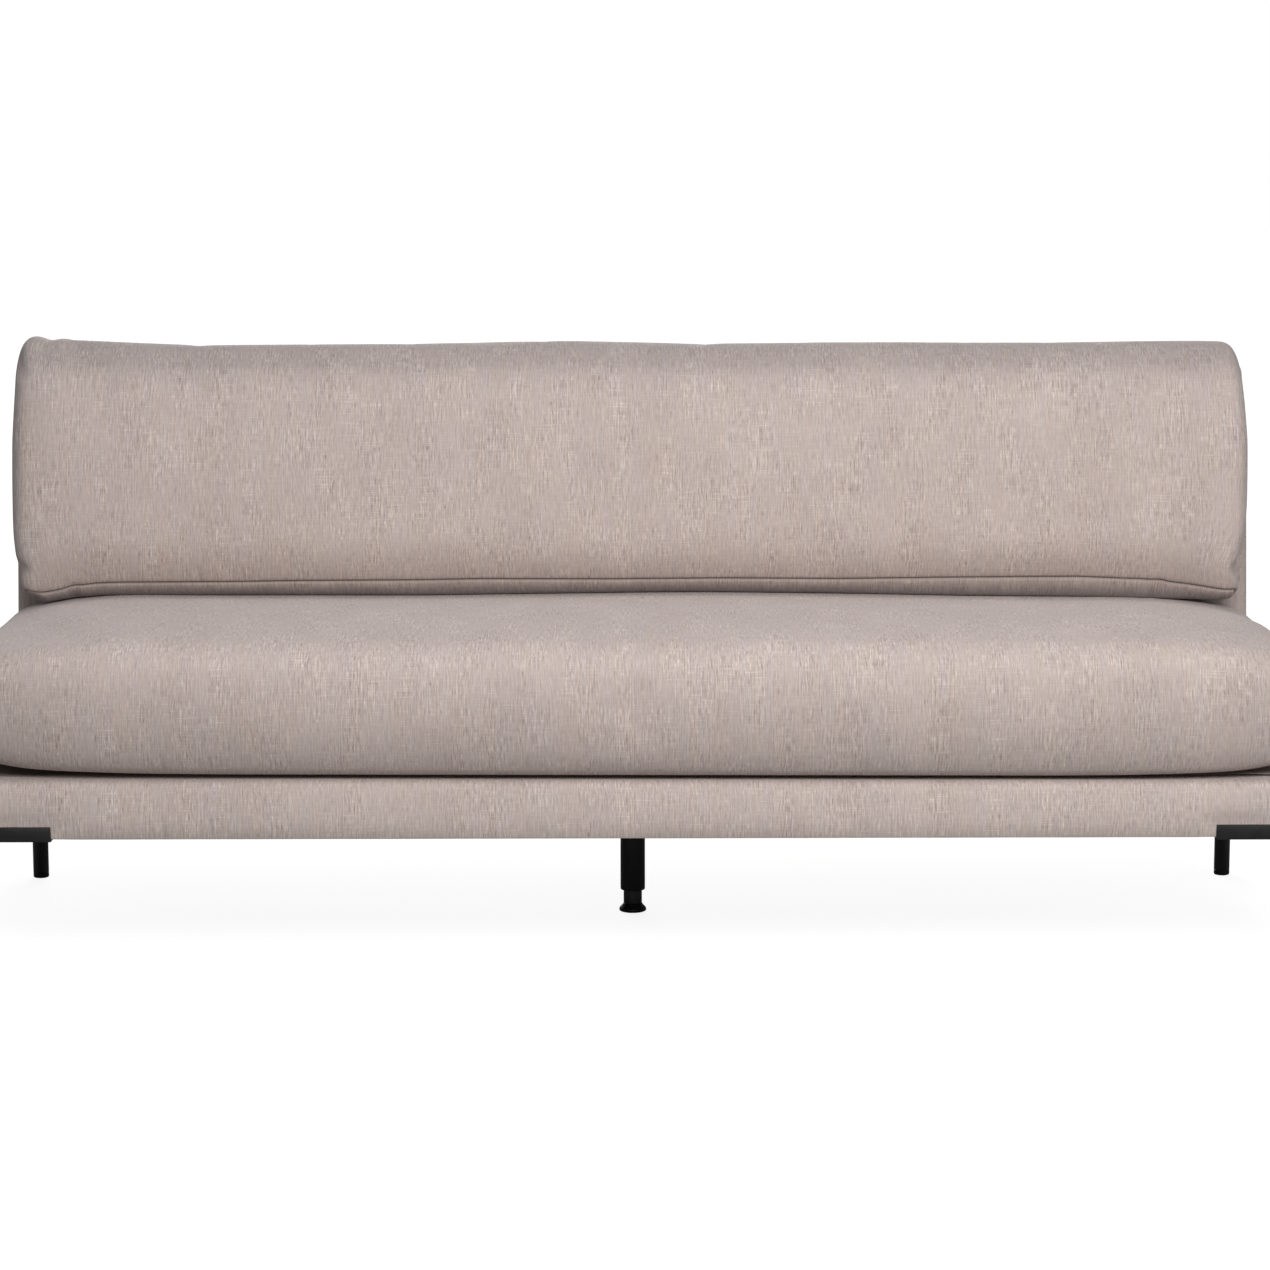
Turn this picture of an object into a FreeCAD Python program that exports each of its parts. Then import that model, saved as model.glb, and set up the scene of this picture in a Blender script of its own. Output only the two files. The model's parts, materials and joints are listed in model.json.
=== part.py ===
import FreeCAD, Part
import math
import os

from FreeCAD import Vector

# Dining banquette: a padded timber base on two steel end frames, a reclined padded back,
# a loose seat cushion and a loose back cushion, and a screw-adjusted leg under the middle.
# Millimetres. +X runs to the right of someone facing the bench, +Y to its back, +Z up.
# The origin is on the floor, in the middle of the overall width and depth.

# Overall sizes
OVERALL_WIDTH = 2000.0
OVERALL_HEIGHT = 867.0
SEAT_HEIGHT = 480.0
BASE_DEPTH = 680.0
BASE_HEIGHT = 90.0
FRAME_CLEARANCE = 192.0
BACK_END_INSET = 20.0
BACK_SLOPE_LENGTH = 546.0
RECLINE_DEG = 8.5

# Upholstery layers
COVER_THICKNESS = 2.0
COVER_CLEARANCE = 0.3
BASE_PADDING = 13.0
BASE_EDGE_RADIUS = 12.0
TOP_HEM = 40.0
BOTTOM_HEM = 45.0
DUST_COVER_THICKNESS = 1.0
DECK_PAD_THICKNESS = 10.0
BACK_FOAM = 14.0
BACK_SIDE_FOAM = 10.0
BACK_EDGE_RADIUS = 18.0

# Timber
RAIL_THICKNESS = 32.0
CROSS_RAIL_HEIGHT = 60.0
CENTRE_RAIL_WIDTH = 120.0
CENTRE_RAIL_HEIGHT = 40.0
CORNER_BLOCK_LEG = 70.0
CORNER_BLOCK_HEIGHT = 50.0
POST_WIDTH = 45.0
POST_THICKNESS = 40.0
BACK_RAIL_HEIGHT = 45.0
BACK_RAIL_LIFT = 14.0
FRONT_PANEL_THICKNESS = 4.0
REAR_PANEL_THICKNESS = 3.0

# Webbing
WEB_WIDTH = 60.0
WEB_THICKNESS = 2.0
CROSS_WEB_COUNT = 12
LONG_WEB_COUNT = 3
WEB_SETBACK = 5.0

# Steel end frames and corner legs
STEEL_THICKNESS = 3.0
STRAP_HEIGHT = 22.0
FLANGE_WIDTH = 75.0
RETURN_LENGTH = 162.0
LEG_DIAMETER = 25.0
LEG_WALL = 2.0
LEG_INSET_X = 45.0
LEG_INSET_Y = 55.0
GLIDE_HEIGHT = 8.0
GLIDE_PLUG_HEIGHT = 15.0
GLIDE_EDGE_RADIUS = 1.5
PLUG_CLEARANCE = 0.2

# Screws, bolts and tee nuts
SCREW_RADIUS = 2.5
SCREW_LENGTH = 30.0
SCREW_HEAD_RADIUS = 5.5
SCREW_HEAD_HEIGHT = 3.0
HOLE_CLEARANCE = 0.3
SIDE_SCREW_COUNT = 3
RETURN_SCREW_INSET = 30.0
BOLT_RADIUS = 4.0
BOLT_HEAD_RADIUS = 7.0
BOLT_HEAD_HEIGHT = 5.0
BOLT_SPACING = 36.0
TEE_NUT_RADIUS = 5.5
TEE_NUT_LENGTH = 12.0
TEE_NUT_FLANGE_RADIUS = 11.0
TEE_NUT_FLANGE_THICKNESS = 1.5

# Centre leg with its levelling foot
CENTRE_LEG_SETBACK = 380.0
CENTRE_TUBE_DIAMETER = 38.0
CENTRE_TUBE_WALL = 2.0
CENTRE_TUBE_LIFT = 34.0
CENTRE_PLATE_SIZE = 100.0
CENTRE_PLATE_THICKNESS = 4.0
CENTRE_SCREW_SPACING = 76.0
INSERT_HEIGHT = 30.0
INSERT_RECESS = 18.0
SPINDLE_RADIUS = 8.0
SPINDLE_LENGTH = 95.0
COLLAR_RADIUS = 14.2
COLLAR_HEIGHT = 24.0
PIVOT_RADIUS = 4.0
PIVOT_DEPTH = 6.0
FOOT_RADIUS = 21.0
FOOT_HEIGHT = 12.0
FOOT_EDGE_RADIUS = 4.0
RUNNING_CLEARANCE = 0.3

# Seat cushion
SEAT_END_GAP = 2.0
SEAT_OVERHANG = 10.0
SEAT_FRONT_BULGE = 18.0
SEAT_CROWN = 6.0
SEAT_END_LENGTH = 120.0
SEAT_END_DROP = 60.0
SEAT_END_RISE = 25.0
SEAT_END_SETBACK = 45.0
SEAT_END_REAR_DRAW = 12.0
SEAT_BOTTOM_FRONT_RADIUS = 22.0
SEAT_TOP_FRONT_RADIUS = 34.0
SEAT_TOP_REAR_RADIUS = 20.0
SEAT_BOTTOM_REAR_RADIUS = 15.0

# Back cushion
BACK_CUSHION_OVERHANG = 1.0
BACK_CUSHION_BOTTOM_DEPTH = 155.0
BACK_CUSHION_TOP_DEPTH = 122.0
BACK_CUSHION_FRONT_BULGE = 14.0
BACK_CUSHION_CROWN = 6.0
BACK_CUSHION_END_LENGTH = 70.0
BACK_CUSHION_END_DROP = 90.0
BACK_CUSHION_END_RISE = 70.0
BACK_CUSHION_END_THINNING = 60.0
BACK_CUSHION_END_REAR_DRAW = 8.0
BACK_CUSHION_BOTTOM_FRONT_RADIUS = 25.0
BACK_CUSHION_TOP_FRONT_RADIUS = 40.0
BACK_CUSHION_TOP_REAR_RADIUS = 30.0
BACK_CUSHION_BOTTOM_REAR_RADIUS = 15.0

# Both cushions
CUSHION_GAP = 0.3
CUSHION_BACK_GAP = 0.6
FIBRE_WRAP = 12.0
LEAST_RADIUS = 3.0
CORNER_SHARE = 0.45
BULGE_SHARE = 0.2
END_TURNS_DEG = (0.0, 30.0, 55.0, 75.0, 90.0)
ZIP_LENGTH = 900.0
ZIP_WIDTH = 20.0
ZIP_CLEARANCE = 0.2

# Levels and faces that follow from the sizes above
RECLINE = math.radians(RECLINE_DEG)
BACK_LEAN_OVERHANG = (
    (BACK_SLOPE_LENGTH - BACK_EDGE_RADIUS) * math.sin(RECLINE)
    + BACK_EDGE_RADIUS * (1.0 - math.cos(RECLINE))
)
OVERALL_DEPTH = SEAT_OVERHANG + BASE_DEPTH + BACK_LEAN_OVERHANG
base_front = SEAT_OVERHANG - OVERALL_DEPTH / 2.0
base_rear = base_front + BASE_DEPTH
half_width = OVERALL_WIDTH / 2.0
half_base = half_width - STEEL_THICKNESS
base_bottom = FRAME_CLEARANCE + STEEL_THICKNESS
base_top = base_bottom + BASE_HEIGHT
rail_bottom = base_bottom + COVER_THICKNESS
deck_pad_top = base_top - COVER_THICKNESS
deck_pad_bottom = deck_pad_top - DECK_PAD_THICKNESS
long_web_bottom = deck_pad_bottom - WEB_THICKNESS
rail_top = long_web_bottom - WEB_THICKNESS
rail_side = half_base - COVER_THICKNESS - BASE_PADDING
front_rail_front = base_front + COVER_THICKNESS + BASE_PADDING
front_rail_rear = front_rail_front + RAIL_THICKNESS
post_rear = base_rear - COVER_THICKNESS - REAR_PANEL_THICKNESS
post_front = post_rear - POST_THICKNESS
rear_rail_front = post_front - RAIL_THICKNESS
dust_cover_bottom = rail_bottom - DUST_COVER_THICKNESS

# The back is drawn upright in front of this line and then leaned back about it
back_pivot = Vector(0.0, base_rear, base_top)
frame_rear_depth = COVER_THICKNESS + REAR_PANEL_THICKNESS
frame_front_depth = frame_rear_depth + POST_THICKNESS
panel_front_depth = frame_front_depth + FRONT_PANEL_THICKNESS
BACK_THICKNESS = panel_front_depth + BACK_FOAM + COVER_THICKNESS
back_half = half_width - BACK_END_INSET
back_frame_half = back_half - COVER_THICKNESS - BACK_SIDE_FOAM
back_frame_top = BACK_SLOPE_LENGTH - COVER_THICKNESS - BACK_SIDE_FOAM
below_base_top = BASE_HEIGHT


def block(x_span, y_span, z_span):
    """Box between two values on each axis."""
    size = [span[1] - span[0] for span in (x_span, y_span, z_span)]
    return Part.makeBox(*size, Vector(x_span[0], y_span[0], z_span[0]))


def upright_cylinder(radius, bottom, top, x, y):
    """Cylinder on a vertical axis, between two heights."""
    return Part.makeCylinder(radius, top - bottom, Vector(x, y, bottom))


def prism_x(points, x_span):
    """Solid with a flat outline in the YZ plane, drawn out along X."""
    corners = [Vector(x_span[0], y, z) for y, z in points]
    face = Part.Face(Part.makePolygon(corners + corners[:1]))
    return face.extrude(Vector(x_span[1] - x_span[0], 0.0, 0.0))


def prism_z(points, z_span):
    """Solid with a flat outline in the XY plane, drawn out along Z."""
    corners = [Vector(x, y, z_span[0]) for x, y in points]
    face = Part.Face(Part.makePolygon(corners + corners[:1]))
    return face.extrude(Vector(0.0, 0.0, z_span[1] - z_span[0]))


def evenly(start, end, count):
    """Centres of a row of equal pieces spread between two ends."""
    step = (end - start) / count
    return [start + step * (index + 0.5) for index in range(count)]


def rounded(shape, radius, is_rounded):
    """Shape with the edges that pass the test rounded, by each edge's middle point."""
    edges = [edge for edge in shape.Edges if is_rounded(edge.CenterOfMass)]
    return shape.makeFillet(radius, edges)


def mirrored_pair(shape):
    """A shape and its mirror image on the other side of the middle."""
    return [shape, shape.mirror(Vector(0.0, 0.0, 0.0), Vector(1.0, 0.0, 0.0))]


def leaned(shape):
    """Shape drawn upright behind the seat, leaned back by the recline."""
    return shape.rotated(back_pivot, Vector(1.0, 0.0, 0.0), -RECLINE_DEG)


def above_base(shape):
    """What is left of a shape above the top of the base."""
    room = block(
        (-OVERALL_WIDTH, OVERALL_WIDTH),
        (base_front - BASE_DEPTH, base_rear + BASE_DEPTH),
        (base_top - OVERALL_HEIGHT, base_top),
    )
    return shape.cut(room)


def sloped_y(depth, z):
    """Y at a height on a plane of the leaned back, by its depth in front of the rear face."""
    return base_rear - depth / math.cos(RECLINE) + (z - base_top) * math.tan(RECLINE)


def back_face_y(z):
    """Where the front of the back stands at a height."""
    return sloped_y(BACK_THICKNESS, z)


def save(node, shape):
    """Write one piece, or one group of like pieces, to its own file."""
    shape.exportStep("parts/" + node + ".step")


# Base timber

def base_screw_points():
    """Where screws hold the end frames to the rails, as (x, y) on the left side."""
    side_x = rail_side - RAIL_THICKNESS / 2.0
    return_x = half_width - RETURN_LENGTH + RETURN_SCREW_INSET
    between_legs = (base_front + LEG_INSET_Y, base_rear - LEG_INSET_Y)
    points = [(-side_x, y) for y in evenly(*between_legs, SIDE_SCREW_COUNT)]
    points.append((-return_x, (front_rail_front + front_rail_rear) / 2.0))
    points.append((-return_x, (rear_rail_front + post_front) / 2.0))
    return points


def centre_screw_points():
    """Where screws hold the centre leg's plate to the centre rail."""
    middle_y = base_front + CENTRE_LEG_SETBACK
    offset = CENTRE_SCREW_SPACING / 2.0
    return [(x, middle_y + y) for x in (-offset, offset) for y in (-offset, offset)]


def screws(points, seat_z):
    """Pan-head screws driven upwards, heads below the given level."""
    made = []
    for x, y in points:
        head = upright_cylinder(SCREW_HEAD_RADIUS, seat_z - SCREW_HEAD_HEIGHT, seat_z, x, y)
        shank = upright_cylinder(SCREW_RADIUS, seat_z, seat_z + SCREW_LENGTH, x, y)
        made.append(head.fuse(shank).removeSplitter())
    return made


def screw_holes(points, seat_z):
    """The clear holes that those screws pass through."""
    radius = SCREW_RADIUS + HOLE_CLEARANCE
    top = seat_z + SCREW_LENGTH + HOLE_CLEARANCE
    return [upright_cylinder(radius, seat_z - SCREW_HEAD_HEIGHT, top, x, y) for x, y in points]


left_points = base_screw_points()
frame_screw_points = left_points + [(-x, y) for x, y in left_points]
centre_plate_bottom = dust_cover_bottom - CENTRE_PLATE_THICKNESS
under_holes = screw_holes(frame_screw_points, FRAME_CLEARANCE)
under_holes += screw_holes(centre_screw_points(), centre_plate_bottom)


def post_centres():
    """X of the back posts: one at each end and one in the middle."""
    end = back_frame_half - POST_WIDTH / 2.0
    return {"left": -end, "centre": 0.0, "right": end}


def bolt_points():
    """Where bolts join the posts to the rear rail, as (x, z)."""
    middle = (rail_bottom + rail_top) / 2.0
    heights = (middle - BOLT_SPACING / 2.0, middle + BOLT_SPACING / 2.0)
    return [(x, z) for x in post_centres().values() for z in heights]


def along_y(radius, front, rear, x, z):
    """Cylinder lying front to back."""
    return Part.makeCylinder(radius, rear - front, Vector(x, front, z), Vector(0.0, 1.0, 0.0))


bolt_head_front = post_rear - BOLT_HEAD_HEIGHT
tee_flange_rear = rear_rail_front + TEE_NUT_FLANGE_THICKNESS
tee_nut_rear = tee_flange_rear + TEE_NUT_LENGTH


def bolt(x, z):
    """Hex bolt sunk in the back of a post, with its end in the tee nut in the rear rail."""
    hexagon = []
    for corner in range(6):
        turn = math.radians(60.0 * corner)
        across = BOLT_HEAD_RADIUS * math.cos(turn)
        up = BOLT_HEAD_RADIUS * math.sin(turn)
        hexagon.append(Vector(x + across, bolt_head_front, z + up))
    face = Part.Face(Part.makePolygon(hexagon + hexagon[:1]))
    head = face.extrude(Vector(0.0, BOLT_HEAD_HEIGHT, 0.0))
    shank = along_y(BOLT_RADIUS, tee_flange_rear, bolt_head_front, x, z)
    return head.fuse(shank).removeSplitter()


def tee_nut(x, z):
    """Tee nut let into the front of the rear rail, its flange flush."""
    flange = along_y(TEE_NUT_FLANGE_RADIUS, rear_rail_front, tee_flange_rear, x, z)
    barrel = along_y(TEE_NUT_RADIUS, tee_flange_rear, tee_nut_rear, x, z)
    bore = along_y(BOLT_RADIUS + HOLE_CLEARANCE, rear_rail_front, tee_nut_rear, x, z)
    return barrel.fuse(flange).removeSplitter().cut(bore)


def bolt_holes():
    """Clear holes for the bolts, with pockets for the heads and the tee nuts."""
    holes = []
    for x, z in bolt_points():
        nut_end = tee_nut_rear + HOLE_CLEARANCE
        holes.append(along_y(BOLT_RADIUS + HOLE_CLEARANCE, rear_rail_front, post_rear, x, z))
        holes.append(along_y(BOLT_HEAD_RADIUS + HOLE_CLEARANCE, bolt_head_front, post_rear, x, z))
        holes.append(along_y(TEE_NUT_RADIUS + HOLE_CLEARANCE, rear_rail_front, nut_end, x, z))
        flange_room = TEE_NUT_FLANGE_RADIUS + HOLE_CLEARANCE
        holes.append(along_y(flange_room, rear_rail_front, tee_flange_rear, x, z))
    return holes


def base_timber():
    """Rails, cross rails and corner blocks of the base."""
    long_x = (-rail_side, rail_side)
    rail_z = (rail_bottom, rail_top)
    inside_y = (front_rail_rear, rear_rail_front)
    rail_inside = rail_side - RAIL_THICKNESS
    pieces = {
        "base_front_rail": block(long_x, (front_rail_front, front_rail_rear), rail_z),
        "base_rear_rail": block(long_x, (rear_rail_front, post_front), rail_z).cut(bolt_holes()),
        "base_left_rail": block((-rail_side, -rail_inside), inside_y, rail_z),
        "base_right_rail": block((rail_inside, rail_side), inside_y, rail_z),
    }
    cross_z = (rail_bottom, rail_bottom + CROSS_RAIL_HEIGHT)
    middle = rail_inside / 2.0
    for side, x in (("left", -middle), ("right", middle)):
        span = (x - RAIL_THICKNESS / 2.0, x + RAIL_THICKNESS / 2.0)
        pieces["base_" + side + "_cross_rail"] = block(span, inside_y, cross_z)
    wide = (-CENTRE_RAIL_WIDTH / 2.0, CENTRE_RAIL_WIDTH / 2.0)
    pieces["base_centre_rail"] = block(wide, inside_y, (rail_bottom, rail_bottom + CENTRE_RAIL_HEIGHT))
    block_z = (rail_bottom, rail_bottom + CORNER_BLOCK_HEIGHT)
    blocks = []
    for y, towards in ((front_rail_rear, 1.0), (rear_rail_front, -1.0)):
        outline = [
            (-rail_inside, y),
            (-rail_inside + CORNER_BLOCK_LEG, y),
            (-rail_inside, y + towards * CORNER_BLOCK_LEG),
        ]
        blocks += mirrored_pair(prism_z(outline, block_z))
    pieces["corner_blocks"] = Part.makeCompound(blocks)
    return {node: shape.cut(under_holes) for node, shape in pieces.items()}


# Base upholstery

def base_form(inset):
    """Outside of the base drawn in by an inset, its edges rounded except along the rear panel."""
    form = block(
        (-half_base + inset, half_base - inset),
        (base_front + inset, base_rear - inset),
        (base_bottom + inset, base_top - inset),
    )

    def is_rounded(point):
        is_at_rear = point.y > base_rear - inset - LEAST_RADIUS
        is_along_width = abs(point.x) < LEAST_RADIUS
        return not (is_at_rear and is_along_width)

    return rounded(form, BASE_EDGE_RADIUS - inset, is_rounded)


def mitre_wedges():
    """Four wedges, cut at 45 degrees, that part the base cover into its sewn borders."""
    past = BASE_EDGE_RADIUS
    depth = BASE_DEPTH / 2.0
    middle = base_front + depth
    outer = half_base + past
    front = base_front - past
    rear = base_rear + past
    inner = half_base - depth
    z_span = (base_bottom - past, base_top + past)
    outlines = {
        "front": [(-outer, front), (outer, front), (inner, middle), (-inner, middle)],
        "rear": [(-outer, rear), (outer, rear), (inner, middle), (-inner, middle)],
        "left": [(-outer, front), (-inner, middle), (-outer, rear)],
        "right": [(outer, front), (inner, middle), (outer, rear)],
    }
    return {side: prism_z(outline, z_span) for side, outline in outlines.items()}


def base_upholstery():
    """Sewn borders, padding, deck and dust cover of the base."""
    deck_x = (-half_base + TOP_HEM, half_base - TOP_HEM)
    deck_front = base_front + TOP_HEM
    under_x = (-half_base + BOTTOM_HEM, half_base - BOTTOM_HEM)
    under_y = (base_front + BOTTOM_HEM, base_rear - BOTTOM_HEM)
    shell = base_form(0.0).cut(base_form(COVER_THICKNESS))
    top_opening = block(deck_x, (deck_front, base_rear - COVER_THICKNESS), (deck_pad_top, base_top))
    bottom_opening = block(under_x, under_y, (base_bottom, rail_bottom))
    post_room = back_frame_half + COVER_CLEARANCE
    post_opening = block(
        (-post_room, post_room), (post_front, base_rear - COVER_THICKNESS), (deck_pad_top, base_top)
    )
    shell = shell.cut([top_opening, post_opening, bottom_opening] + under_holes)
    pieces = {}
    for side, wedge in mitre_wedges().items():
        pieces["base_" + side + "_border"] = shell.common(wedge)
    filled = base_form(COVER_THICKNESS + COVER_CLEARANCE)
    timber_room = block((-rail_side, rail_side), (front_rail_front, base_rear), (base_bottom, base_top))
    padding = filled.cut(timber_room)
    pieces["base_padding"] = padding
    pieces["base_rear_panel"] = block(
        (-rail_side, rail_side), (post_rear, post_rear + REAR_PANEL_THICKNESS), (rail_bottom, deck_pad_top)
    )
    pieces["deck_pad"] = block(
        (-rail_side, rail_side), (front_rail_front, post_front), (deck_pad_bottom, deck_pad_top)
    )
    pieces["deck_cloth"] = block(deck_x, (deck_front, post_front), (deck_pad_top, base_top))
    dust = block(under_x, under_y, (dust_cover_bottom, rail_bottom))
    pieces["dust_cover"] = dust.cut(under_holes)
    return pieces


def deck_webbing():
    """Webbing across the rails, and a few strips along the bench over it."""
    cross_y = (front_rail_front + WEB_SETBACK, post_front - WEB_SETBACK)
    cross = []
    for x in evenly(-rail_side, rail_side, CROSS_WEB_COUNT):
        span = (x - WEB_WIDTH / 2.0, x + WEB_WIDTH / 2.0)
        cross.append(block(span, cross_y, (rail_top, long_web_bottom)))
    lengthwise = []
    long_x = (-rail_side + WEB_SETBACK, rail_side - WEB_SETBACK)
    for y in evenly(front_rail_rear, rear_rail_front, LONG_WEB_COUNT):
        span = (y - WEB_WIDTH / 2.0, y + WEB_WIDTH / 2.0)
        lengthwise.append(block(long_x, span, (long_web_bottom, deck_pad_bottom)))
    return {
        "cross_webbing": Part.makeCompound(cross),
        "long_webbing": Part.makeCompound(lengthwise),
    }


# Back

def upright_back(x_span, depths, heights):
    """Block of the back, by depth in front of its rear face and by height up its slope."""
    y_span = (base_rear - depths[1], base_rear - depths[0])
    z_span = (base_top + heights[0], base_top + heights[1])
    return block(x_span, y_span, z_span)


def back_form(inset):
    """Outside of the upright back drawn in by an inset, its edges rounded except at the foot."""
    form = upright_back(
        (-back_half + inset, back_half - inset),
        (inset, BACK_THICKNESS - inset),
        (-below_base_top, BACK_SLOPE_LENGTH - inset),
    )
    foot = base_top - below_base_top
    return rounded(form, BACK_EDGE_RADIUS - inset, lambda point: point.z > foot)


def back_post(x):
    """Post sawn with a knee: upright where it is bolted in the base, leaned above it."""
    top = back_frame_top - BACK_RAIL_HEIGHT
    top_rear = (frame_rear_depth, top)
    top_front = (frame_front_depth, top)
    outline = [(post_front, rail_bottom), (post_rear, rail_bottom)]
    outline.append((sloped_y(frame_rear_depth, base_top), base_top))
    for depth, height in (top_rear, top_front):
        y = base_rear - depth * math.cos(RECLINE) + height * math.sin(RECLINE)
        z = base_top + depth * math.sin(RECLINE) + height * math.cos(RECLINE)
        outline.append((y, z))
    knee = frame_front_depth * (1.0 / math.cos(RECLINE) - 1.0) / math.tan(RECLINE)
    outline.append((post_front, base_top + knee))
    post = prism_x(outline, (x - POST_WIDTH / 2.0, x + POST_WIDTH / 2.0))
    return post.cut(bolt_holes())


def back_pieces():
    """Posts, rails, panels, foam and cover of the back, with the bolts of its posts."""
    pieces = {"back_" + side + "_post": back_post(x) for side, x in post_centres().items()}
    frame_depths = (frame_rear_depth, frame_front_depth)
    frame_x = (-back_frame_half, back_frame_half)
    top_rail = upright_back(frame_x, frame_depths, (back_frame_top - BACK_RAIL_HEIGHT, back_frame_top))
    pieces["back_top_rail"] = leaned(top_rail)
    rail_x = (POST_WIDTH / 2.0, back_frame_half - POST_WIDTH)
    low_rail = upright_back(rail_x, frame_depths, (BACK_RAIL_LIFT, BACK_RAIL_LIFT + BACK_RAIL_HEIGHT))
    pieces["back_lower_rails"] = Part.makeCompound(mirrored_pair(leaned(low_rail)))
    whole_height = (-below_base_top, back_frame_top)
    front_panel = upright_back(frame_x, (frame_front_depth, panel_front_depth), whole_height)
    pieces["back_front_panel"] = above_base(leaned(front_panel))
    flat_half = back_half - BACK_EDGE_RADIUS
    flat_height = (-below_base_top, BACK_SLOPE_LENGTH - BACK_EDGE_RADIUS)
    rear_panel = upright_back((-flat_half, flat_half), (COVER_THICKNESS, frame_rear_depth), flat_height)
    pieces["back_rear_panel"] = above_base(leaned(rear_panel))
    timber_room = upright_back(frame_x, (-BACK_THICKNESS, panel_front_depth), whole_height)
    foam = back_form(COVER_THICKNESS + COVER_CLEARANCE).cut(timber_room)
    pieces["back_foam"] = above_base(leaned(foam))
    shell = back_form(0.0).cut(back_form(COVER_THICKNESS))
    pieces["back_cover"] = above_base(leaned(shell))
    pieces["post_bolts"] = Part.makeCompound([bolt(x, z) for x, z in bolt_points()])
    pieces["post_tee_nuts"] = Part.makeCompound([tee_nut(x, z) for x, z in bolt_points()])
    return pieces


# Steelwork

def upright_rounded_block(x_span, y_span, z_span, radius):
    """Block whose four upright edges are rounded."""
    form = block(x_span, y_span, z_span)
    middle_z = (z_span[0] + z_span[1]) / 2.0
    return rounded(form, radius, lambda point: abs(point.z - middle_z) < STEEL_THICKNESS / 2.0)


def end_frames():
    """Folded steel trays that wrap the two ends of the base, from below and round the sides."""
    outer_y = (base_front - STEEL_THICKNESS, base_rear + STEEL_THICKNESS)
    tray = upright_rounded_block(
        (-half_width, half_width),
        outer_y,
        (FRAME_CLEARANCE, FRAME_CLEARANCE + STRAP_HEIGHT),
        BASE_EDGE_RADIUS + STEEL_THICKNESS,
    )
    hollow = upright_rounded_block(
        (-half_base, half_base),
        (base_front, base_rear),
        (base_bottom, base_bottom + STRAP_HEIGHT),
        BASE_EDGE_RADIUS,
    )
    opening = block(
        (-half_width + FLANGE_WIDTH, half_width - FLANGE_WIDTH),
        (outer_y[0] + FLANGE_WIDTH, outer_y[1] - FLANGE_WIDTH),
        (FRAME_CLEARANCE, base_bottom),
    )
    middle_room = block(
        (-half_width + RETURN_LENGTH, half_width - RETURN_LENGTH),
        outer_y,
        (FRAME_CLEARANCE, FRAME_CLEARANCE + STRAP_HEIGHT),
    )
    both = tray.cut([hollow, opening, middle_room] + under_holes)
    left, right = sorted(both.Solids, key=lambda solid: solid.CenterOfMass.x)
    return {"left_end_frame": left, "right_end_frame": right}


def corner_legs():
    """Four tube legs under the end frames, with their glides."""
    radius = LEG_DIAMETER / 2.0
    bore = radius - LEG_WALL
    plug = bore - PLUG_CLEARANCE
    pieces = {}
    glides = []
    rows = (("front", base_front + LEG_INSET_Y), ("rear", base_rear - LEG_INSET_Y))
    columns = (("left", -half_width + LEG_INSET_X), ("right", half_width - LEG_INSET_X))
    for row, y in rows:
        for column, x in columns:
            tube = upright_cylinder(radius, GLIDE_HEIGHT, FRAME_CLEARANCE, x, y)
            inside = upright_cylinder(bore, GLIDE_HEIGHT, FRAME_CLEARANCE, x, y)
            pieces[row + "_" + column + "_leg"] = tube.cut(inside)
            disc = upright_cylinder(radius, 0.0, GLIDE_HEIGHT, x, y)
            disc = rounded(disc, GLIDE_EDGE_RADIUS, lambda point: point.z < GLIDE_EDGE_RADIUS)
            stem = upright_cylinder(plug, GLIDE_HEIGHT, GLIDE_HEIGHT + GLIDE_PLUG_HEIGHT, x, y)
            glides.append(disc.fuse(stem).removeSplitter())
    pieces["leg_glides"] = Part.makeCompound(glides)
    pieces["end_frame_screws"] = Part.makeCompound(screws(frame_screw_points, FRAME_CLEARANCE))
    return pieces


# Centre leg

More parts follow.
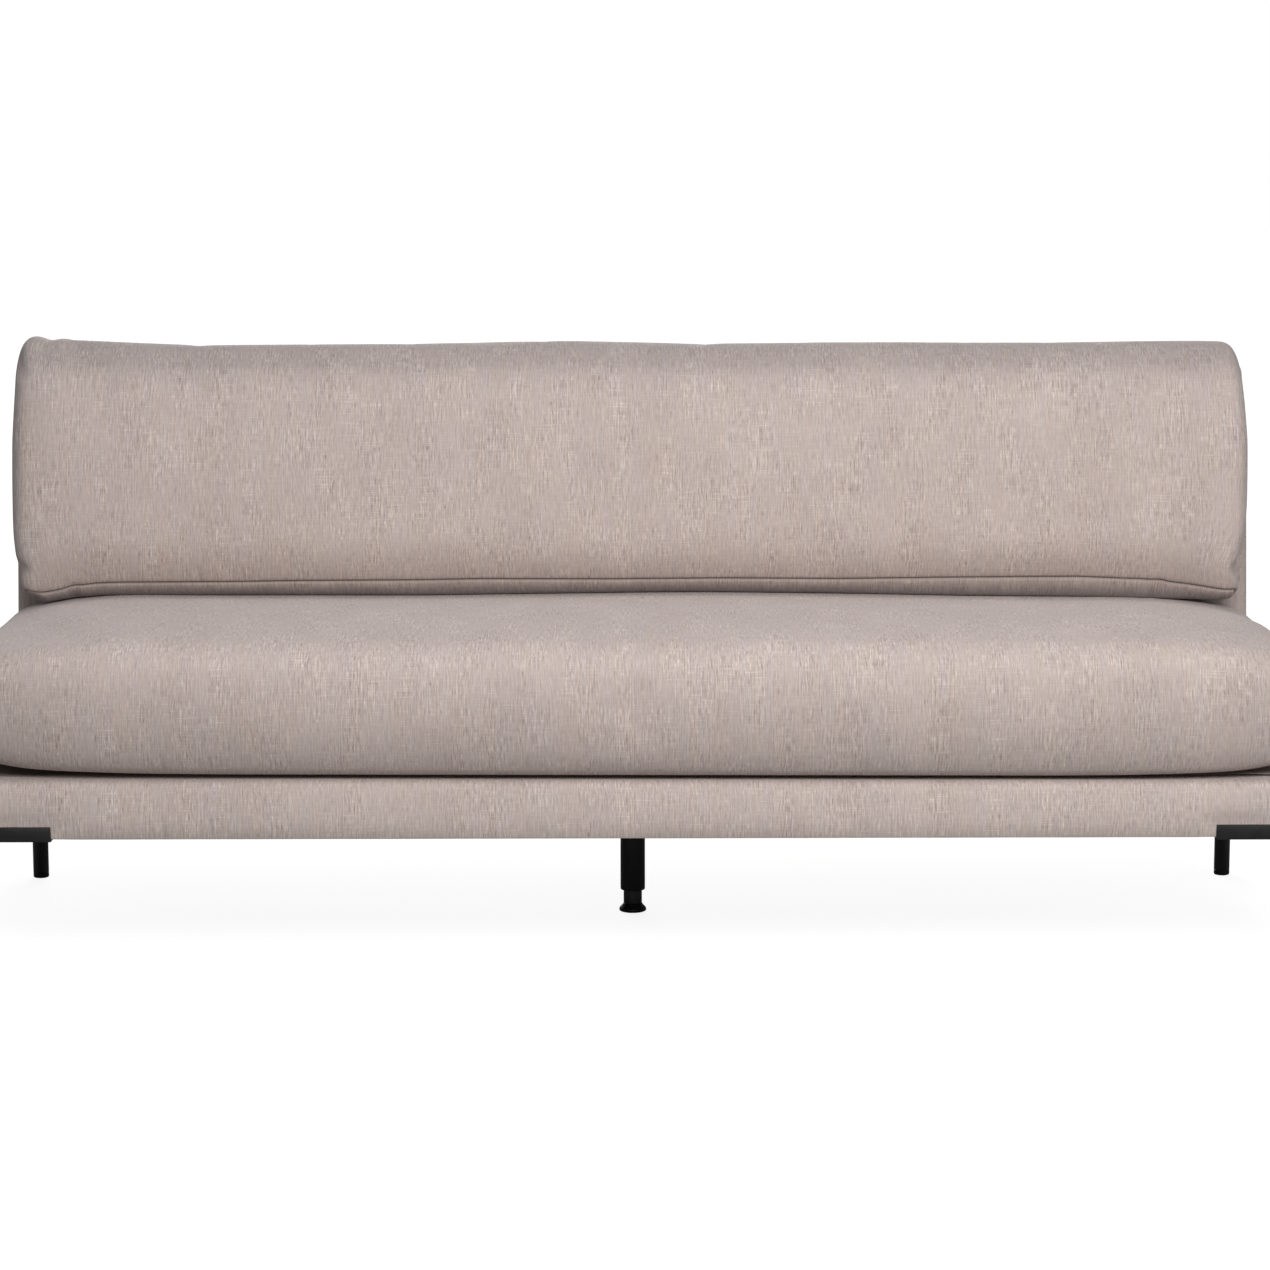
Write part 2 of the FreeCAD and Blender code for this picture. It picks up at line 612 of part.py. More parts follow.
def centre_leg():
    """Plate, tube and insert of the middle leg, with the spindle and foot that level it."""
    x = 0.0
    y = base_front + CENTRE_LEG_SETBACK
    radius = CENTRE_TUBE_DIAMETER / 2.0
    bore = radius - CENTRE_TUBE_WALL
    half_plate = CENTRE_PLATE_SIZE / 2.0
    plate = block(
        (x - half_plate, x + half_plate),
        (y - half_plate, y + half_plate),
        (centre_plate_bottom, dust_cover_bottom),
    )
    tube = upright_cylinder(radius, CENTRE_TUBE_LIFT, centre_plate_bottom, x, y)
    tube = tube.cut(upright_cylinder(bore, CENTRE_TUBE_LIFT, centre_plate_bottom, x, y))
    insert_bottom = CENTRE_TUBE_LIFT + INSERT_RECESS
    insert_top = insert_bottom + INSERT_HEIGHT
    insert = upright_cylinder(bore - PLUG_CLEARANCE, insert_bottom, insert_top, x, y)
    thread = upright_cylinder(SPINDLE_RADIUS + RUNNING_CLEARANCE, insert_bottom, insert_top, x, y)
    collar_bottom = FOOT_HEIGHT + RUNNING_CLEARANCE
    collar_top = collar_bottom + COLLAR_HEIGHT
    collar = upright_cylinder(COLLAR_RADIUS, collar_bottom, collar_top, x, y)
    stem = upright_cylinder(SPINDLE_RADIUS, collar_top, collar_bottom + SPINDLE_LENGTH, x, y)
    pivot_bottom = collar_bottom - PIVOT_DEPTH
    pivot = upright_cylinder(PIVOT_RADIUS, pivot_bottom, collar_bottom, x, y)
    foot = upright_cylinder(FOOT_RADIUS, 0.0, FOOT_HEIGHT, x, y)
    foot = rounded(foot, FOOT_EDGE_RADIUS, lambda point: point.z > FOOT_HEIGHT - LEAST_RADIUS)
    socket_bottom = pivot_bottom - RUNNING_CLEARANCE
    socket = upright_cylinder(PIVOT_RADIUS + RUNNING_CLEARANCE, socket_bottom, FOOT_HEIGHT, x, y)
    return {
        "centre_leg_plate": plate.cut(under_holes),
        "centre_leg_tube": tube,
        "centre_leg_screws": Part.makeCompound(screws(centre_screw_points(), centre_plate_bottom)),
        "centre_leg_insert": insert.cut(thread),
        "levelling_spindle": collar.fuse([stem, pivot]).removeSplitter(),
        "levelling_foot": foot.cut(socket),
    }


# Cushions

def cushion_outline(x, corners, radii, bulges):
    """Closed outline across a cushion: sides that are straight or swell, and rounded corners.

    A side runs from its corner to the next one, and swells by no more than a share of its length.
    A corner of no radius stays a plain point, and a rounded one takes up no more than its share
    of the shorter side beside it.
    """
    count = len(corners)
    places = [Vector(x, y, z) for y, z in corners]
    starts = []
    ends = []
    corner_arcs = []
    for index, place in enumerate(places):
        to_last = places[index - 1] - place
        to_next = places[(index + 1) % count] - place
        longest_reach = CORNER_SHARE * min(to_last.Length, to_next.Length)
        to_last.normalize()
        to_next.normalize()
        half_angle = to_last.getAngle(to_next) / 2.0
        reach = min(radii[index] / math.tan(half_angle), longest_reach)
        starts.append(place + to_last * reach)
        ends.append(place + to_next * reach)
        arcs = []
        if reach > 0.0:
            radius = reach * math.tan(half_angle)
            inwards = (to_last + to_next).normalize()
            middle = place + inwards * (radius / math.sin(half_angle) - radius)
            arcs.append(Part.Arc(starts[index], middle, ends[index]).toShape())
        corner_arcs.append(arcs)
    edges = []
    for index, bulge in enumerate(bulges):
        edges += corner_arcs[index]
        begin = ends[index]
        finish = starts[(index + 1) % count]
        if bulge > 0.0:
            along = finish - begin
            outwards = Vector(0.0, along.z, -along.y).normalize()
            middle = (begin + finish) * 0.5 + outwards * min(bulge, BULGE_SHARE * along.Length)
            edges.append(Part.Arc(begin, middle, finish).toShape())
        else:
            edges.append(Part.makeLine(begin, finish))
    return Part.Wire(edges)


def end_stations(half_length, end_length):
    """Stations along a cushion, as (x, draw), where draw goes from 0 to 1 round each end."""
    right = []
    for degrees in END_TURNS_DEG:
        turn = math.radians(degrees)
        right.append((half_length - end_length * (1.0 - math.sin(turn)), 1.0 - math.cos(turn)))
    left = [(-x, draw) for x, draw in reversed(right)]
    return left + right


def drawn_radius(radius, inset):
    """Corner radius of a form drawn in by an inset."""
    return max(radius - inset, LEAST_RADIUS)


seat_bottom = base_top + CUSHION_GAP
seat_flat = SEAT_HEIGHT - SEAT_CROWN
seat_half = half_width - SEAT_END_GAP
back_cushion_bottom = seat_flat + CUSHION_GAP
back_cushion_half = back_half + BACK_CUSHION_OVERHANG


def cushion_rear_y(z, inset):
    """Rear of a cushion at a height, just clear of the leaned back."""
    return back_face_y(z) - CUSHION_BACK_GAP - inset / math.cos(RECLINE)


def back_cushion_front_y(z, inset):
    """Front of the back cushion at a height, before its swell."""
    top = OVERALL_HEIGHT - BACK_CUSHION_CROWN
    share = (z - back_cushion_bottom) / (top - back_cushion_bottom)
    depth = BACK_CUSHION_BOTTOM_DEPTH + share * (BACK_CUSHION_TOP_DEPTH - BACK_CUSHION_BOTTOM_DEPTH)
    return back_face_y(z) - CUSHION_BACK_GAP - depth + BACK_CUSHION_FRONT_BULGE + inset


def seat_outline(x, draw, inset):
    """Outline of the seat cushion: flat below and behind, full in front, crowned on top."""
    bottom = seat_bottom + inset + draw * SEAT_END_RISE
    top = seat_flat - inset - draw * SEAT_END_DROP
    front = base_front - SEAT_OVERHANG + SEAT_FRONT_BULGE + inset + draw * SEAT_END_SETBACK
    rear_draw = draw * SEAT_END_REAR_DRAW
    crown_rear = back_cushion_front_y(back_cushion_bottom, 0.0)
    corners = [
        (front, bottom),
        (cushion_rear_y(bottom, inset) - rear_draw, bottom),
        (cushion_rear_y(top, inset) - rear_draw, top),
        (crown_rear, top),
        (front, top),
    ]
    radii = [
        drawn_radius(SEAT_BOTTOM_FRONT_RADIUS, inset),
        drawn_radius(SEAT_BOTTOM_REAR_RADIUS, inset),
        drawn_radius(SEAT_TOP_REAR_RADIUS, inset),
        0.0,
        drawn_radius(SEAT_TOP_FRONT_RADIUS, inset),
    ]
    bulges = [0.0, 0.0, 0.0, SEAT_CROWN, SEAT_FRONT_BULGE]
    return cushion_outline(x, corners, radii, bulges)


def back_cushion_outline(x, draw, inset):
    """Outline of the back cushion: flat behind and below, full in front, crowned on top."""
    bottom = back_cushion_bottom + inset + draw * BACK_CUSHION_END_RISE
    top = OVERALL_HEIGHT - BACK_CUSHION_CROWN - inset - draw * BACK_CUSHION_END_DROP
    rear_draw = draw * BACK_CUSHION_END_REAR_DRAW
    front_draw = draw * BACK_CUSHION_END_THINNING
    corners = [
        (back_cushion_front_y(bottom, inset) + front_draw, bottom),
        (cushion_rear_y(bottom, inset) - rear_draw, bottom),
        (cushion_rear_y(top, inset) - rear_draw, top),
        (back_cushion_front_y(top, inset) + front_draw, top),
    ]
    radii = [
        drawn_radius(BACK_CUSHION_BOTTOM_FRONT_RADIUS, inset),
        drawn_radius(BACK_CUSHION_BOTTOM_REAR_RADIUS, inset),
        drawn_radius(BACK_CUSHION_TOP_REAR_RADIUS, inset),
        drawn_radius(BACK_CUSHION_TOP_FRONT_RADIUS, inset),
    ]
    bulges = [0.0, 0.0, BACK_CUSHION_CROWN, BACK_CUSHION_FRONT_BULGE]
    return cushion_outline(x, corners, radii, bulges)


def cushion_form(outline, half_length, end_length, inset):
    """Solid of a cushion, drawn in by an inset, through its outlines from end to end."""
    stations = end_stations(half_length - inset, end_length)
    wires = [outline(x, draw, inset) for x, draw in stations]
    return Part.makeLoft(wires, True, True)


def cushion_pieces(name, outline, half_length, end_length, zip_z):
    """Cover, zip, fibre wrap and foam core of one cushion, each inside the last."""
    insets = [0.0, COVER_THICKNESS]
    insets.append(insets[-1] + COVER_CLEARANCE)
    insets.append(insets[-1] + FIBRE_WRAP)
    insets.append(insets[-1] + COVER_CLEARANCE)
    forms = [cushion_form(outline, half_length, end_length, inset) for inset in insets]
    cover = forms[0].cut(forms[1])
    rear = (cushion_rear_y(zip_z, 0.0) - BACK_THICKNESS, cushion_rear_y(zip_z, 0.0) + BACK_THICKNESS)

    def zip_room(margin):
        half_zip = ZIP_LENGTH / 2.0 + margin
        half_tape = ZIP_WIDTH / 2.0 + margin
        return block((-half_zip, half_zip), rear, (zip_z - half_tape, zip_z + half_tape))

    return {
        name + "_cover": cover.cut(zip_room(ZIP_CLEARANCE)),
        name + "_zip": cover.common(zip_room(0.0)),
        name + "_fibre_wrap": forms[2].cut(forms[3]),
        name + "_foam_core": forms[4],
    }


def main():
    """Build every piece and write each to its own file."""
    os.makedirs("parts", exist_ok=True)
    seat_zip_z = (seat_bottom + seat_flat) / 2.0
    back_zip_z = (back_cushion_bottom + OVERALL_HEIGHT) / 2.0
    groups = [
        base_timber(),
        base_upholstery(),
        deck_webbing(),
        back_pieces(),
        end_frames(),
        corner_legs(),
        centre_leg(),
        cushion_pieces("seat_cushion", seat_outline, seat_half, SEAT_END_LENGTH, seat_zip_z),
        cushion_pieces("back_cushion", back_cushion_outline, back_cushion_half,
                       BACK_CUSHION_END_LENGTH, back_zip_z),
    ]
    for group in groups:
        for node, shape in group.items():
            save(node, shape)


main()
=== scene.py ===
"""Looks of the dining banquette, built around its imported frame."""

import json
import logging
import math
from dataclasses import dataclass, field
from enum import Enum
from functools import cache
from typing import Any, Callable, Iterable, Optional, Sequence

import bmesh
import bpy
import numpy as np
from mathutils import Matrix, Vector


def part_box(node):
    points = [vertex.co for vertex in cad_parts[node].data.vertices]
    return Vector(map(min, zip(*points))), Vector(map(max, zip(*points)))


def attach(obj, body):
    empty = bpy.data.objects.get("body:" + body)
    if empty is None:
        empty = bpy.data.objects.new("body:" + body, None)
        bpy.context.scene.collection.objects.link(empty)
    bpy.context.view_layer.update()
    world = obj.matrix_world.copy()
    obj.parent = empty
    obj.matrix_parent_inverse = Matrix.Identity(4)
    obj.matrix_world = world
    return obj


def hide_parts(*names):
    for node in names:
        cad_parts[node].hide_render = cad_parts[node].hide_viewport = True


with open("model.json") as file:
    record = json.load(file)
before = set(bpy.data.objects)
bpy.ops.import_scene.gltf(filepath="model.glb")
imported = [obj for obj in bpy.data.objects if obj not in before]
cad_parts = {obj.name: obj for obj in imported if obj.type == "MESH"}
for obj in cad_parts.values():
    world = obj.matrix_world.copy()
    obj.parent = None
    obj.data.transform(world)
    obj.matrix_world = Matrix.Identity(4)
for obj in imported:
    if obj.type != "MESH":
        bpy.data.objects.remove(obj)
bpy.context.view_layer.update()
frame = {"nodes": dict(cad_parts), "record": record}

LOG = logging.getLogger("banquette")

Colour = tuple[float, float, float, float]
Point = tuple[float, float, float]
Pair = tuple[float, float]
Line = tuple[Pair, ...]
# Size and rate of a wave, then the size and rate of its sway
Wave = tuple[float, float, float, float]

CLOTH_MAP = "cloth"
# Vertex mark at the bottom of seam grooves: painted shade of the groove, with some dirt
SEAM_SHADE_MARK = "seam"
# Vertex mark of painted shade: where it is set, the cloth's colour is multiplied darker to stand in for shade
PAINTED_SHADE_MARK = "painted_shade"

BASE_FRONT = -0.37412
BASE_REAR = 0.30588
HALF_BASE = 0.997
BASE_BOTTOM = 0.195
BASE_TOP = 0.285
RECLINE = math.radians(8.5)
BACK_THICKNESS = 0.065

# Share of a box's side within which a vertex lies on its face
FLUSH = 0.002
# Steps in one blur of an eased line, and how many blurs its smoothing reaches
EASE_STEPS = 6
EASE_REACH = 3
# Where on the cloth the end panels are cut
LEFT_END_CLOTH = 3.7
RIGHT_END_CLOTH = 5.3
MERGE_DISTANCE = 1e-6
SHARP_ANGLE = math.radians(38.0)
FLAT_ANGLE = math.radians(0.5)
EASED_ANGLE = math.radians(40.0)
THREAD_PITCH = 0.0017


def srgb(*parts: float) -> Colour:
    """Linear colour of an 8-bit screen colour.

    Args:
        parts: Red, green and blue, from 0 to 255.

    Returns:
        The colour, opaque.
    """
    shares = [part / 255.0 for part in parts]
    linear = [share / 12.92 if share <= 0.04045 else ((share + 0.055) / 1.055) ** 2.4 for share in shares]
    return (linear[0], linear[1], linear[2], 1.0)


def smooth_step(low: float, high: float, value: np.ndarray) -> np.ndarray:
    """Rise smoothly from 0 at low to 1 at high."""
    share = np.clip((value - low) / (high - low), 0.0, 1.0)
    return share * share * (3.0 - 2.0 * share)


def domed(share: np.ndarray, power: int = 2) -> np.ndarray:
    """Rise from 0 at each end of a range to 1 in its middle."""
    return 1.0 - (2.0 * share - 1.0) ** power


def rolled(wide: np.ndarray, half_width: float, length: float) -> np.ndarray:
    """How far an end rolls away, from 0 to 1, along a quarter round."""
    run = np.clip((wide - half_width + length) / length, 0.0, 1.0)
    return 1.0 - np.sqrt(1.0 - run ** 2)


def swaying(where: np.ndarray, wave: Wave) -> np.ndarray:
    """Height of a wave whose length sways, at each place."""
    size, rate, sway, sway_rate = wave
    return size * np.sin(where * rate + sway * np.sin(where * sway_rate))


def eased(line: Line, where: np.ndarray, blur: float) -> np.ndarray:
    """Read a line of places and values with its corners smoothed.

    Args:
        line: Place and value of each point, in order.
        where: The places to read at.
        blur: How far a corner is smoothed, in the units of the places.

    Returns:
        The value at each place.
    """
    known = np.array(line)
    side = EASE_REACH * EASE_STEPS
    grid = np.arange(known[0, 0] - EASE_REACH * blur, known[-1, 0] + EASE_REACH * blur, blur / EASE_STEPS)
    weight = np.exp(-0.5 * (np.arange(-side, side + 1) / EASE_STEPS) ** 2)
    plain = np.pad(np.interp(grid, known[:, 0], known[:, 1]), side, mode="edge")
    return np.interp(where, grid, np.convolve(plain, weight / weight.sum(), mode="valid"))


def back_face_y(z: np.ndarray) -> np.ndarray:
    """Where the front of the leaned back stands at each height."""
    return BASE_REAR - BACK_THICKNESS / math.cos(RECLINE) + (z - BASE_TOP) * math.tan(RECLINE)


class Sketch:
    """Short way to add, set and join the nodes of one tree."""

    def __init__(self, tree: bpy.types.NodeTree) -> None:
        """Work in a tree that is empty or new."""
        self.tree = tree

    def fill(self, node: bpy.types.Node, values: dict[Any, Any]) -> None:
        """Link inputs of a node to other sockets, or set their values.

        Args:
            node: The node.
            values: Socket or value for each input, by name or number.
        """
        for key, value in values.items():
            if isinstance(value, bpy.types.NodeSocket):
                self.tree.links.new(value, node.inputs[key])
            else:
                node.inputs[key].default_value = value

    def add(self, kind: str, inputs: Optional[dict[Any, Any]] = None, **settings: Any) -> bpy.types.Node:
        """Add a node.

        Args:
            kind: Node type, without its ShaderNode prefix.
            inputs: Value or socket for each input, by name or number.
            settings: The node's own settings.

        Returns:
            The new node.
        """
        prefix = "" if kind.startswith("Node") else "ShaderNode"
        node = self.tree.nodes.new(prefix + kind)
        for key, value in settings.items():
            setattr(node, key, value)
        self.fill(node, inputs or {})
        return node

    def maths(self, operation: str, first: Any, second: Any = 0.0, clamp: bool = False) -> Any:
        """Socket with the result of a sum on two values."""
        return self.add("Math", {0: first, 1: second}, operation=operation, use_clamp=clamp).outputs[0]

    def weighed(self, *terms: tuple[Any, float, float]) -> Any:
        """Add up values, each less its middle and then times its weight.

        Args:
            terms: Value, middle and weight of each.

        Returns:
            The sum's socket.
        """
        total: Any = 0.0
        for value, middle, weight in terms:
            part = self.maths("MULTIPLY", self.maths("SUBTRACT", value, middle), weight)
            total = self.maths("ADD", total, part)
        return total

    def wave(self, value: Any, rate: float) -> Any:
        """Socket with the sine of a value times a rate."""
        return self.maths("SINE", self.maths("MULTIPLY", value, rate))

    def scaled(self, vector: Any, scale: Any) -> Any:
        """Socket with a vector scaled evenly."""
        return self.add("VectorMath", {0: vector, "Scale": scale}, operation="SCALE").outputs[0]

    def noise(self, vector: Any, scale: Any, detail: float = 2.0, flat: bool = False) -> Any:
        """Noise from 0 to 1.

        Args:
            vector: Where the noise is read.
            scale: One scale, or one for each axis.
            detail: Octaves of finer noise.
            flat: True for a pattern on two axes only.

        Returns:
            The noise value's socket.
        """
        if not isinstance(scale, float):
            vector = self.add("VectorMath", {0: vector, 1: scale}, operation="MULTIPLY").outputs[0]
            scale = 1.0
        inputs = {"Vector": vector, "Scale": scale, "Detail": detail}
        return self.add("TexNoise", inputs, noise_dimensions="2D" if flat else "3D").outputs[0]

    def span(self, value: Any, low: float, high: float, to_low: float = 0.0, to_high: float = 1.0) -> Any:
        """Socket with a value brought from one range to another, and held there."""
        return self.add("MapRange", {0: value, 1: low, 2: high, 3: to_low, 4: to_high}).outputs[0]

    def mixed(self, share: Any, first: Any, second: Any, how: str = "MIX") -> Any:
        """Socket with a colour between two colours."""
        return self.add("Mix", {0: share, 6: first, 7: second}, data_type="RGBA", blend_type=how).outputs[2]

    def bump(self, height: Any, strength: float, distance: float) -> Any:
        """Socket with the normal that a height gives."""
        return self.add("Bump", {"Height": height, "Strength": strength, "Distance": distance}).outputs[0]


class Groups:
    """Shared node groups, each built at its first use."""

    @staticmethod
    def start(name: str, inputs: dict[str, str], outputs: dict[str, str]) -> tuple[Any, Sketch, Any, Any]:
        """Make an empty group with its sockets.

        Args:
            name: The group's name.
            inputs: Name and kind of each input.
            outputs: Name and kind of each output.

        Returns:
            The tree, a sketch in it, and its input and output nodes.
        """
        tree = bpy.data.node_groups.new(name, "ShaderNodeTree")
        for way, sockets in (("INPUT", inputs), ("OUTPUT", outputs)):
            for label, kind in sockets.items():
                tree.interface.new_socket(label, in_out=way, socket_type="NodeSocket" + kind)
        sketch = Sketch(tree)
        return tree, sketch, sketch.add("NodeGroupInput"), sketch.add("NodeGroupOutput")

    @classmethod
    @cache
    def heather(cls) -> bpy.types.NodeTree:
        """Heathered weave with long slubs on its warp and short ones on its weft.

        Returns:
            The group.
        """
        colours = dict.fromkeys(("Dark", "Middle", "Light", "Warm", "Cool"), "Color")
        tree, s, given, made = cls.start("heather_weave", {"Vector": "Vector", **colours, "Slub": "Float"},
                                         {"Color": "Color", "Height": "Float", "Roughness": "Float"})
        inputs = given.outputs
        where = inputs["Vector"]
        # Marks in each metre across and along the cloth, and the octaves of detail
        warp, thread, weft, fleck, busy, cloud, band, blush = (
            s.noise(where, (across, along, 1.0), detail, True) for across, along, detail in (
                (450.0, 26.0, 2.0), (1050.0, 95.0, 1.0), (26.0, 560.0, 1.0), (560.0, 75.0, 0.0),
                (24.0, 10.0, 2.0), (13.0, 6.0, 3.0), (60.0, 7.0, 2.0), (48.0, 30.0, 2.0)))
        knots = s.span(weft, 0.62, 0.80)
        flecks = s.maths("SUBTRACT", s.span(fleck, 0.66, 0.82), s.span(fleck, 0.36, 0.20))
        tone = s.weighed((warp, 0.5, 1.6), (thread, 0.5, 1.0), (weft, 0.5, 0.35), (cloud, 0.5, 0.5),
                         (knots, 0.0, 0.25), (flecks, 0.0, 0.45))
        tone = s.maths("MULTIPLY", tone, s.span(busy, 0.35, 0.65, 0.6, 1.3))
        tone = s.maths("MULTIPLY", tone, inputs["Slub"])
        colour = s.mixed(s.maths("MULTIPLY", tone, -2.0, True), inputs["Middle"], inputs["Dark"])
        colour = s.mixed(s.maths("MULTIPLY", tone, 2.0, True), colour, inputs["Light"])
        tint = s.mixed(s.span(band, 0.3, 0.7), inputs["Cool"], inputs["Warm"])
        rose, green = (1.0, 0.993, 1.0, 1.0), (0.996, 1.0, 0.994, 1.0)
        cast = s.mixed(s.span(blush, 0.3, 0.7), rose, green)
        for shade in (tint, cast):
            colour = s.mixed(1.0, colour, shade, "MULTIPLY")
        axes = s.add("SeparateXYZ", {0: where}).outputs
        rate = 2.0 * math.pi / THREAD_PITCH
        weave = s.maths("MULTIPLY", s.wave(axes[0], rate), s.wave(axes[1], rate))
        height = s.weighed((warp, 0.0, 0.9), (thread, 0.0, 0.7), (knots, 0.0, 0.5), (weave, 0.0, 0.15))
        s.fill(made, {"Color": colour, "Height": height, "Roughness": s.span(thread, 0.2, 0.8, 0.86, 0.97)})
        return tree

    @classmethod
    @cache
    def grain(cls) -> bpy.types.NodeTree:
        """Fine even grain of a coated, plated or moulded surface.

        Returns:
            The group.
        """
        tree, s, given, made = cls.start("fine_grain", {"Vector": "Vector", "Scale": "Float"},
                                         {"Height": "Float", "Patch": "Float"})
        where = s.scaled(given.outputs["Vector"], given.outputs["Scale"])
        patch = s.span(s.noise(where, 0.03, 3.0), 0.3, 0.7)
        s.fill(made, {"Height": s.noise(where, 1.0, 3.0), "Patch": patch})
        return tree

    @classmethod
    @cache
    def fibres(cls) -> bpy.types.NodeTree:
        """Tangled or open fibres, as in felt, wadding and foam.

        Returns:
            The group.
        """
        tree, s, given, made = cls.start("fibres", {"Vector": "Vector", "Scale": "Float"},
                                         {"Height": "Float", "Tone": "Float"})
        where = s.scaled(given.outputs["Vector"], given.outputs["Scale"])
        cells = s.add("TexVoronoi", {"Vector": where, "Scale": 1.0}, feature="DISTANCE_TO_EDGE").outputs[0]
        cloud = s.span(s.noise(where, 0.15, 4.0), 0.2, 0.8, 0.8, 1.0)
        height = s.maths("ADD", s.span(cells, 0.0, 0.3), s.noise(where, 2.0, 2.0))
        tone = s.maths("MULTIPLY", s.span(cells, 0.0, 0.2, 0.6, 1.0), cloud)
        s.fill(made, {"Height": height, "Tone": tone})
        return tree

    @classmethod
    @cache
    def wood(cls) -> bpy.types.NodeTree:
        """Straight timber grain along X, with pores and slow colour changes.

        Returns:
            The group.
        """
        tree, s, given, made = cls.start("wood_grain", {"Vector": "Vector", "Pale": "Color", "Dark": "Color"},
                                         {"Color": "Color", "Height": "Float"})
        where, dark = given.outputs["Vector"], given.outputs["Dark"]
        rings = s.noise(where, (4.0, 90.0, 90.0), 3.0)
        pores = s.noise(where, (40.0, 900.0, 900.0), 2.0)
        colour = s.mixed(s.span(rings, 0.35, 0.65), given.outputs["Pale"], dark)
        colour = s.mixed(s.span(pores, 0.55, 0.75, 0.0, 0.4), colour, dark)
        s.fill(made, {"Color": colour, "Height": pores})
        return tree


def new_material(name: str) -> tuple[bpy.types.Material, Sketch, bpy.types.Node]:
    """Start a material.

    Args:
        name: The material's name.

    Returns:
        The material, a sketch in its tree, and its shader.
    """
    material = bpy.data.materials.new(name)
    material.use_nodes = True
    material.node_tree.nodes.clear()
    sketch = Sketch(material.node_tree)
    shader = sketch.add("BsdfPrincipled")
    sketch.add("OutputMaterial", {"Surface": shader.outputs[0]})
    return material, sketch, shader


class Finish:
    """A finish that makes its material once and lends it to any number of pieces."""

    name: str

    def build(self) -> bpy.types.Material:
        """Make the material."""
        raise NotImplementedError

    def material(self) -> bpy.types.Material:
        """The finish's material, made at its first use."""
        return bpy.data.materials.get(self.name) or self.build()

    def dress(self, piece: bpy.types.Object) -> None:
        """Give the whole piece this finish."""
        piece.data.materials.clear()
        piece.data.materials.append(self.material())


@dataclass(frozen=True)
class HeatherCloth(Finish):
    """Heathered taupe upholstery weave."""

    name: str = "heathered_cloth"
    dark: Colour = srgb(150, 135, 129)
    middle: Colour = srgb(187, 174, 169)
    light: Colour = srgb(222, 210, 202)
    warm: Colour = (1.0, 0.987, 0.960, 1.0)
    cool: Colour = (0.982, 0.985, 0.998, 1.0)
    slub: float = 0.42
    # Seam colour and strength: painted shade down in the seam grooves, with some dirt
    seam_shade_and_dirt_colour: Colour = srgb(58, 48, 44)
    seam_shade: float = 0.72
    # Colour that the painted-shade mark multiplies in: painted shade
    painted_shade_colour: Colour = (0.56, 0.575, 0.60, 1.0)
    sheen: float = 0.2
    sheen_tint: Colour = (0.93, 0.94, 1.0, 1.0)

    def build(self) -> bpy.types.Material:
        """Make the weave on the piece's own cloth map, with painted shade where the painted-shade mark is
        set, and painted shade with some dirt down in the seams.

        Returns:
            The material.
        """
        material, s, shader = new_material(self.name)
        where = s.add("UVMap", uv_map=CLOTH_MAP).outputs[0]
        inputs = {"Vector": where, "Dark": self.dark, "Middle": self.middle, "Light": self.light,
                  "Warm": self.warm, "Cool": self.cool, "Slub": self.slub}
        weave = s.add("Group", inputs, node_tree=Groups.heather()).outputs
        seam, painted_shade = (s.add("Attribute", attribute_name=name).outputs["Fac"] for name in (SEAM_SHADE_MARK, PAINTED_SHADE_MARK))
        # Painted shade where the painted-shade mark is set
        colour = s.mixed(painted_shade, weave["Color"], self.painted_shade_colour, "MULTIPLY")
        # Painted shade, with some dirt, at the bottom of the seams
        colour = s.mixed(s.maths("MULTIPLY", seam, self.seam_shade, True), colour, self.seam_shade_and_dirt_colour)
        s.fill(shader, {"Base Color": colour, "Roughness": weave["Roughness"], "Specular IOR Level": 0.15,
                        "Sheen Weight": self.sheen, "Sheen Roughness": 0.45, "Sheen Tint": self.sheen_tint,
                        "Normal": s.bump(weave["Height"], 0.45, 0.0007)})
        return material


@dataclass(frozen=True)
class FeltLining(Finish):
    """Thin unwoven lining, pressed in small cells."""

    name: str
    dark: Colour
    pale: Colour
    scale: float = 900.0

    def build(self) -> bpy.types.Material:
        """Make the felt from tangled fibres on Object coordinates.

        Returns:
            The material.
        """
        material, s, shader = new_material(self.name)
        where = s.add("TexCoord").outputs["Object"]
        felt = s.add("Group", {"Vector": where, "Scale": self.scale}, node_tree=Groups.fibres()).outputs
        s.fill(shader, {"Base Color": s.mixed(felt["Tone"], self.dark, self.pale), "Specular IOR Level": 0.15,
                        "Roughness": s.span(felt["Tone"], 0.4, 1.0, 0.95, 0.8),
                        "Normal": s.bump(felt["Height"], 0.5, 0.0006)})
        return material


@dataclass(frozen=True)
class StripedWebbing(Finish):
    """Elastic webbing with coloured lines along its length."""

    name: str
    ground: Colour
    line: Colour
    axis: int
    line_rate: float = 420.0
    rib_rate: float = 2600.0

    def build(self) -> bpy.types.Material:
        """Make lines along the strips and ribs across them.

        Returns:
            The material.
        """
        material, s, shader = new_material(self.name)
        where = s.add("TexCoord").outputs["Object"]
        axes = s.add("SeparateXYZ", {0: where}).outputs
        worn = s.noise(where, 300.0, 3.0)
        lines = s.span(s.wave(axes[self.axis], self.line_rate), 0.6, 0.8)
        colour = s.mixed(lines, self.ground, self.line)
        s.fill(shader, {"Base Color": s.mixed(s.span(worn, 0.3, 0.7, 0.0, 0.35), colour, self.ground),
                        "Roughness": s.span(worn, 0.2, 0.8, 0.75, 0.95),
                        "Normal": s.bump(s.wave(axes[1 - self.axis], self.rib_rate), 0.5, 0.0005)})
        return material


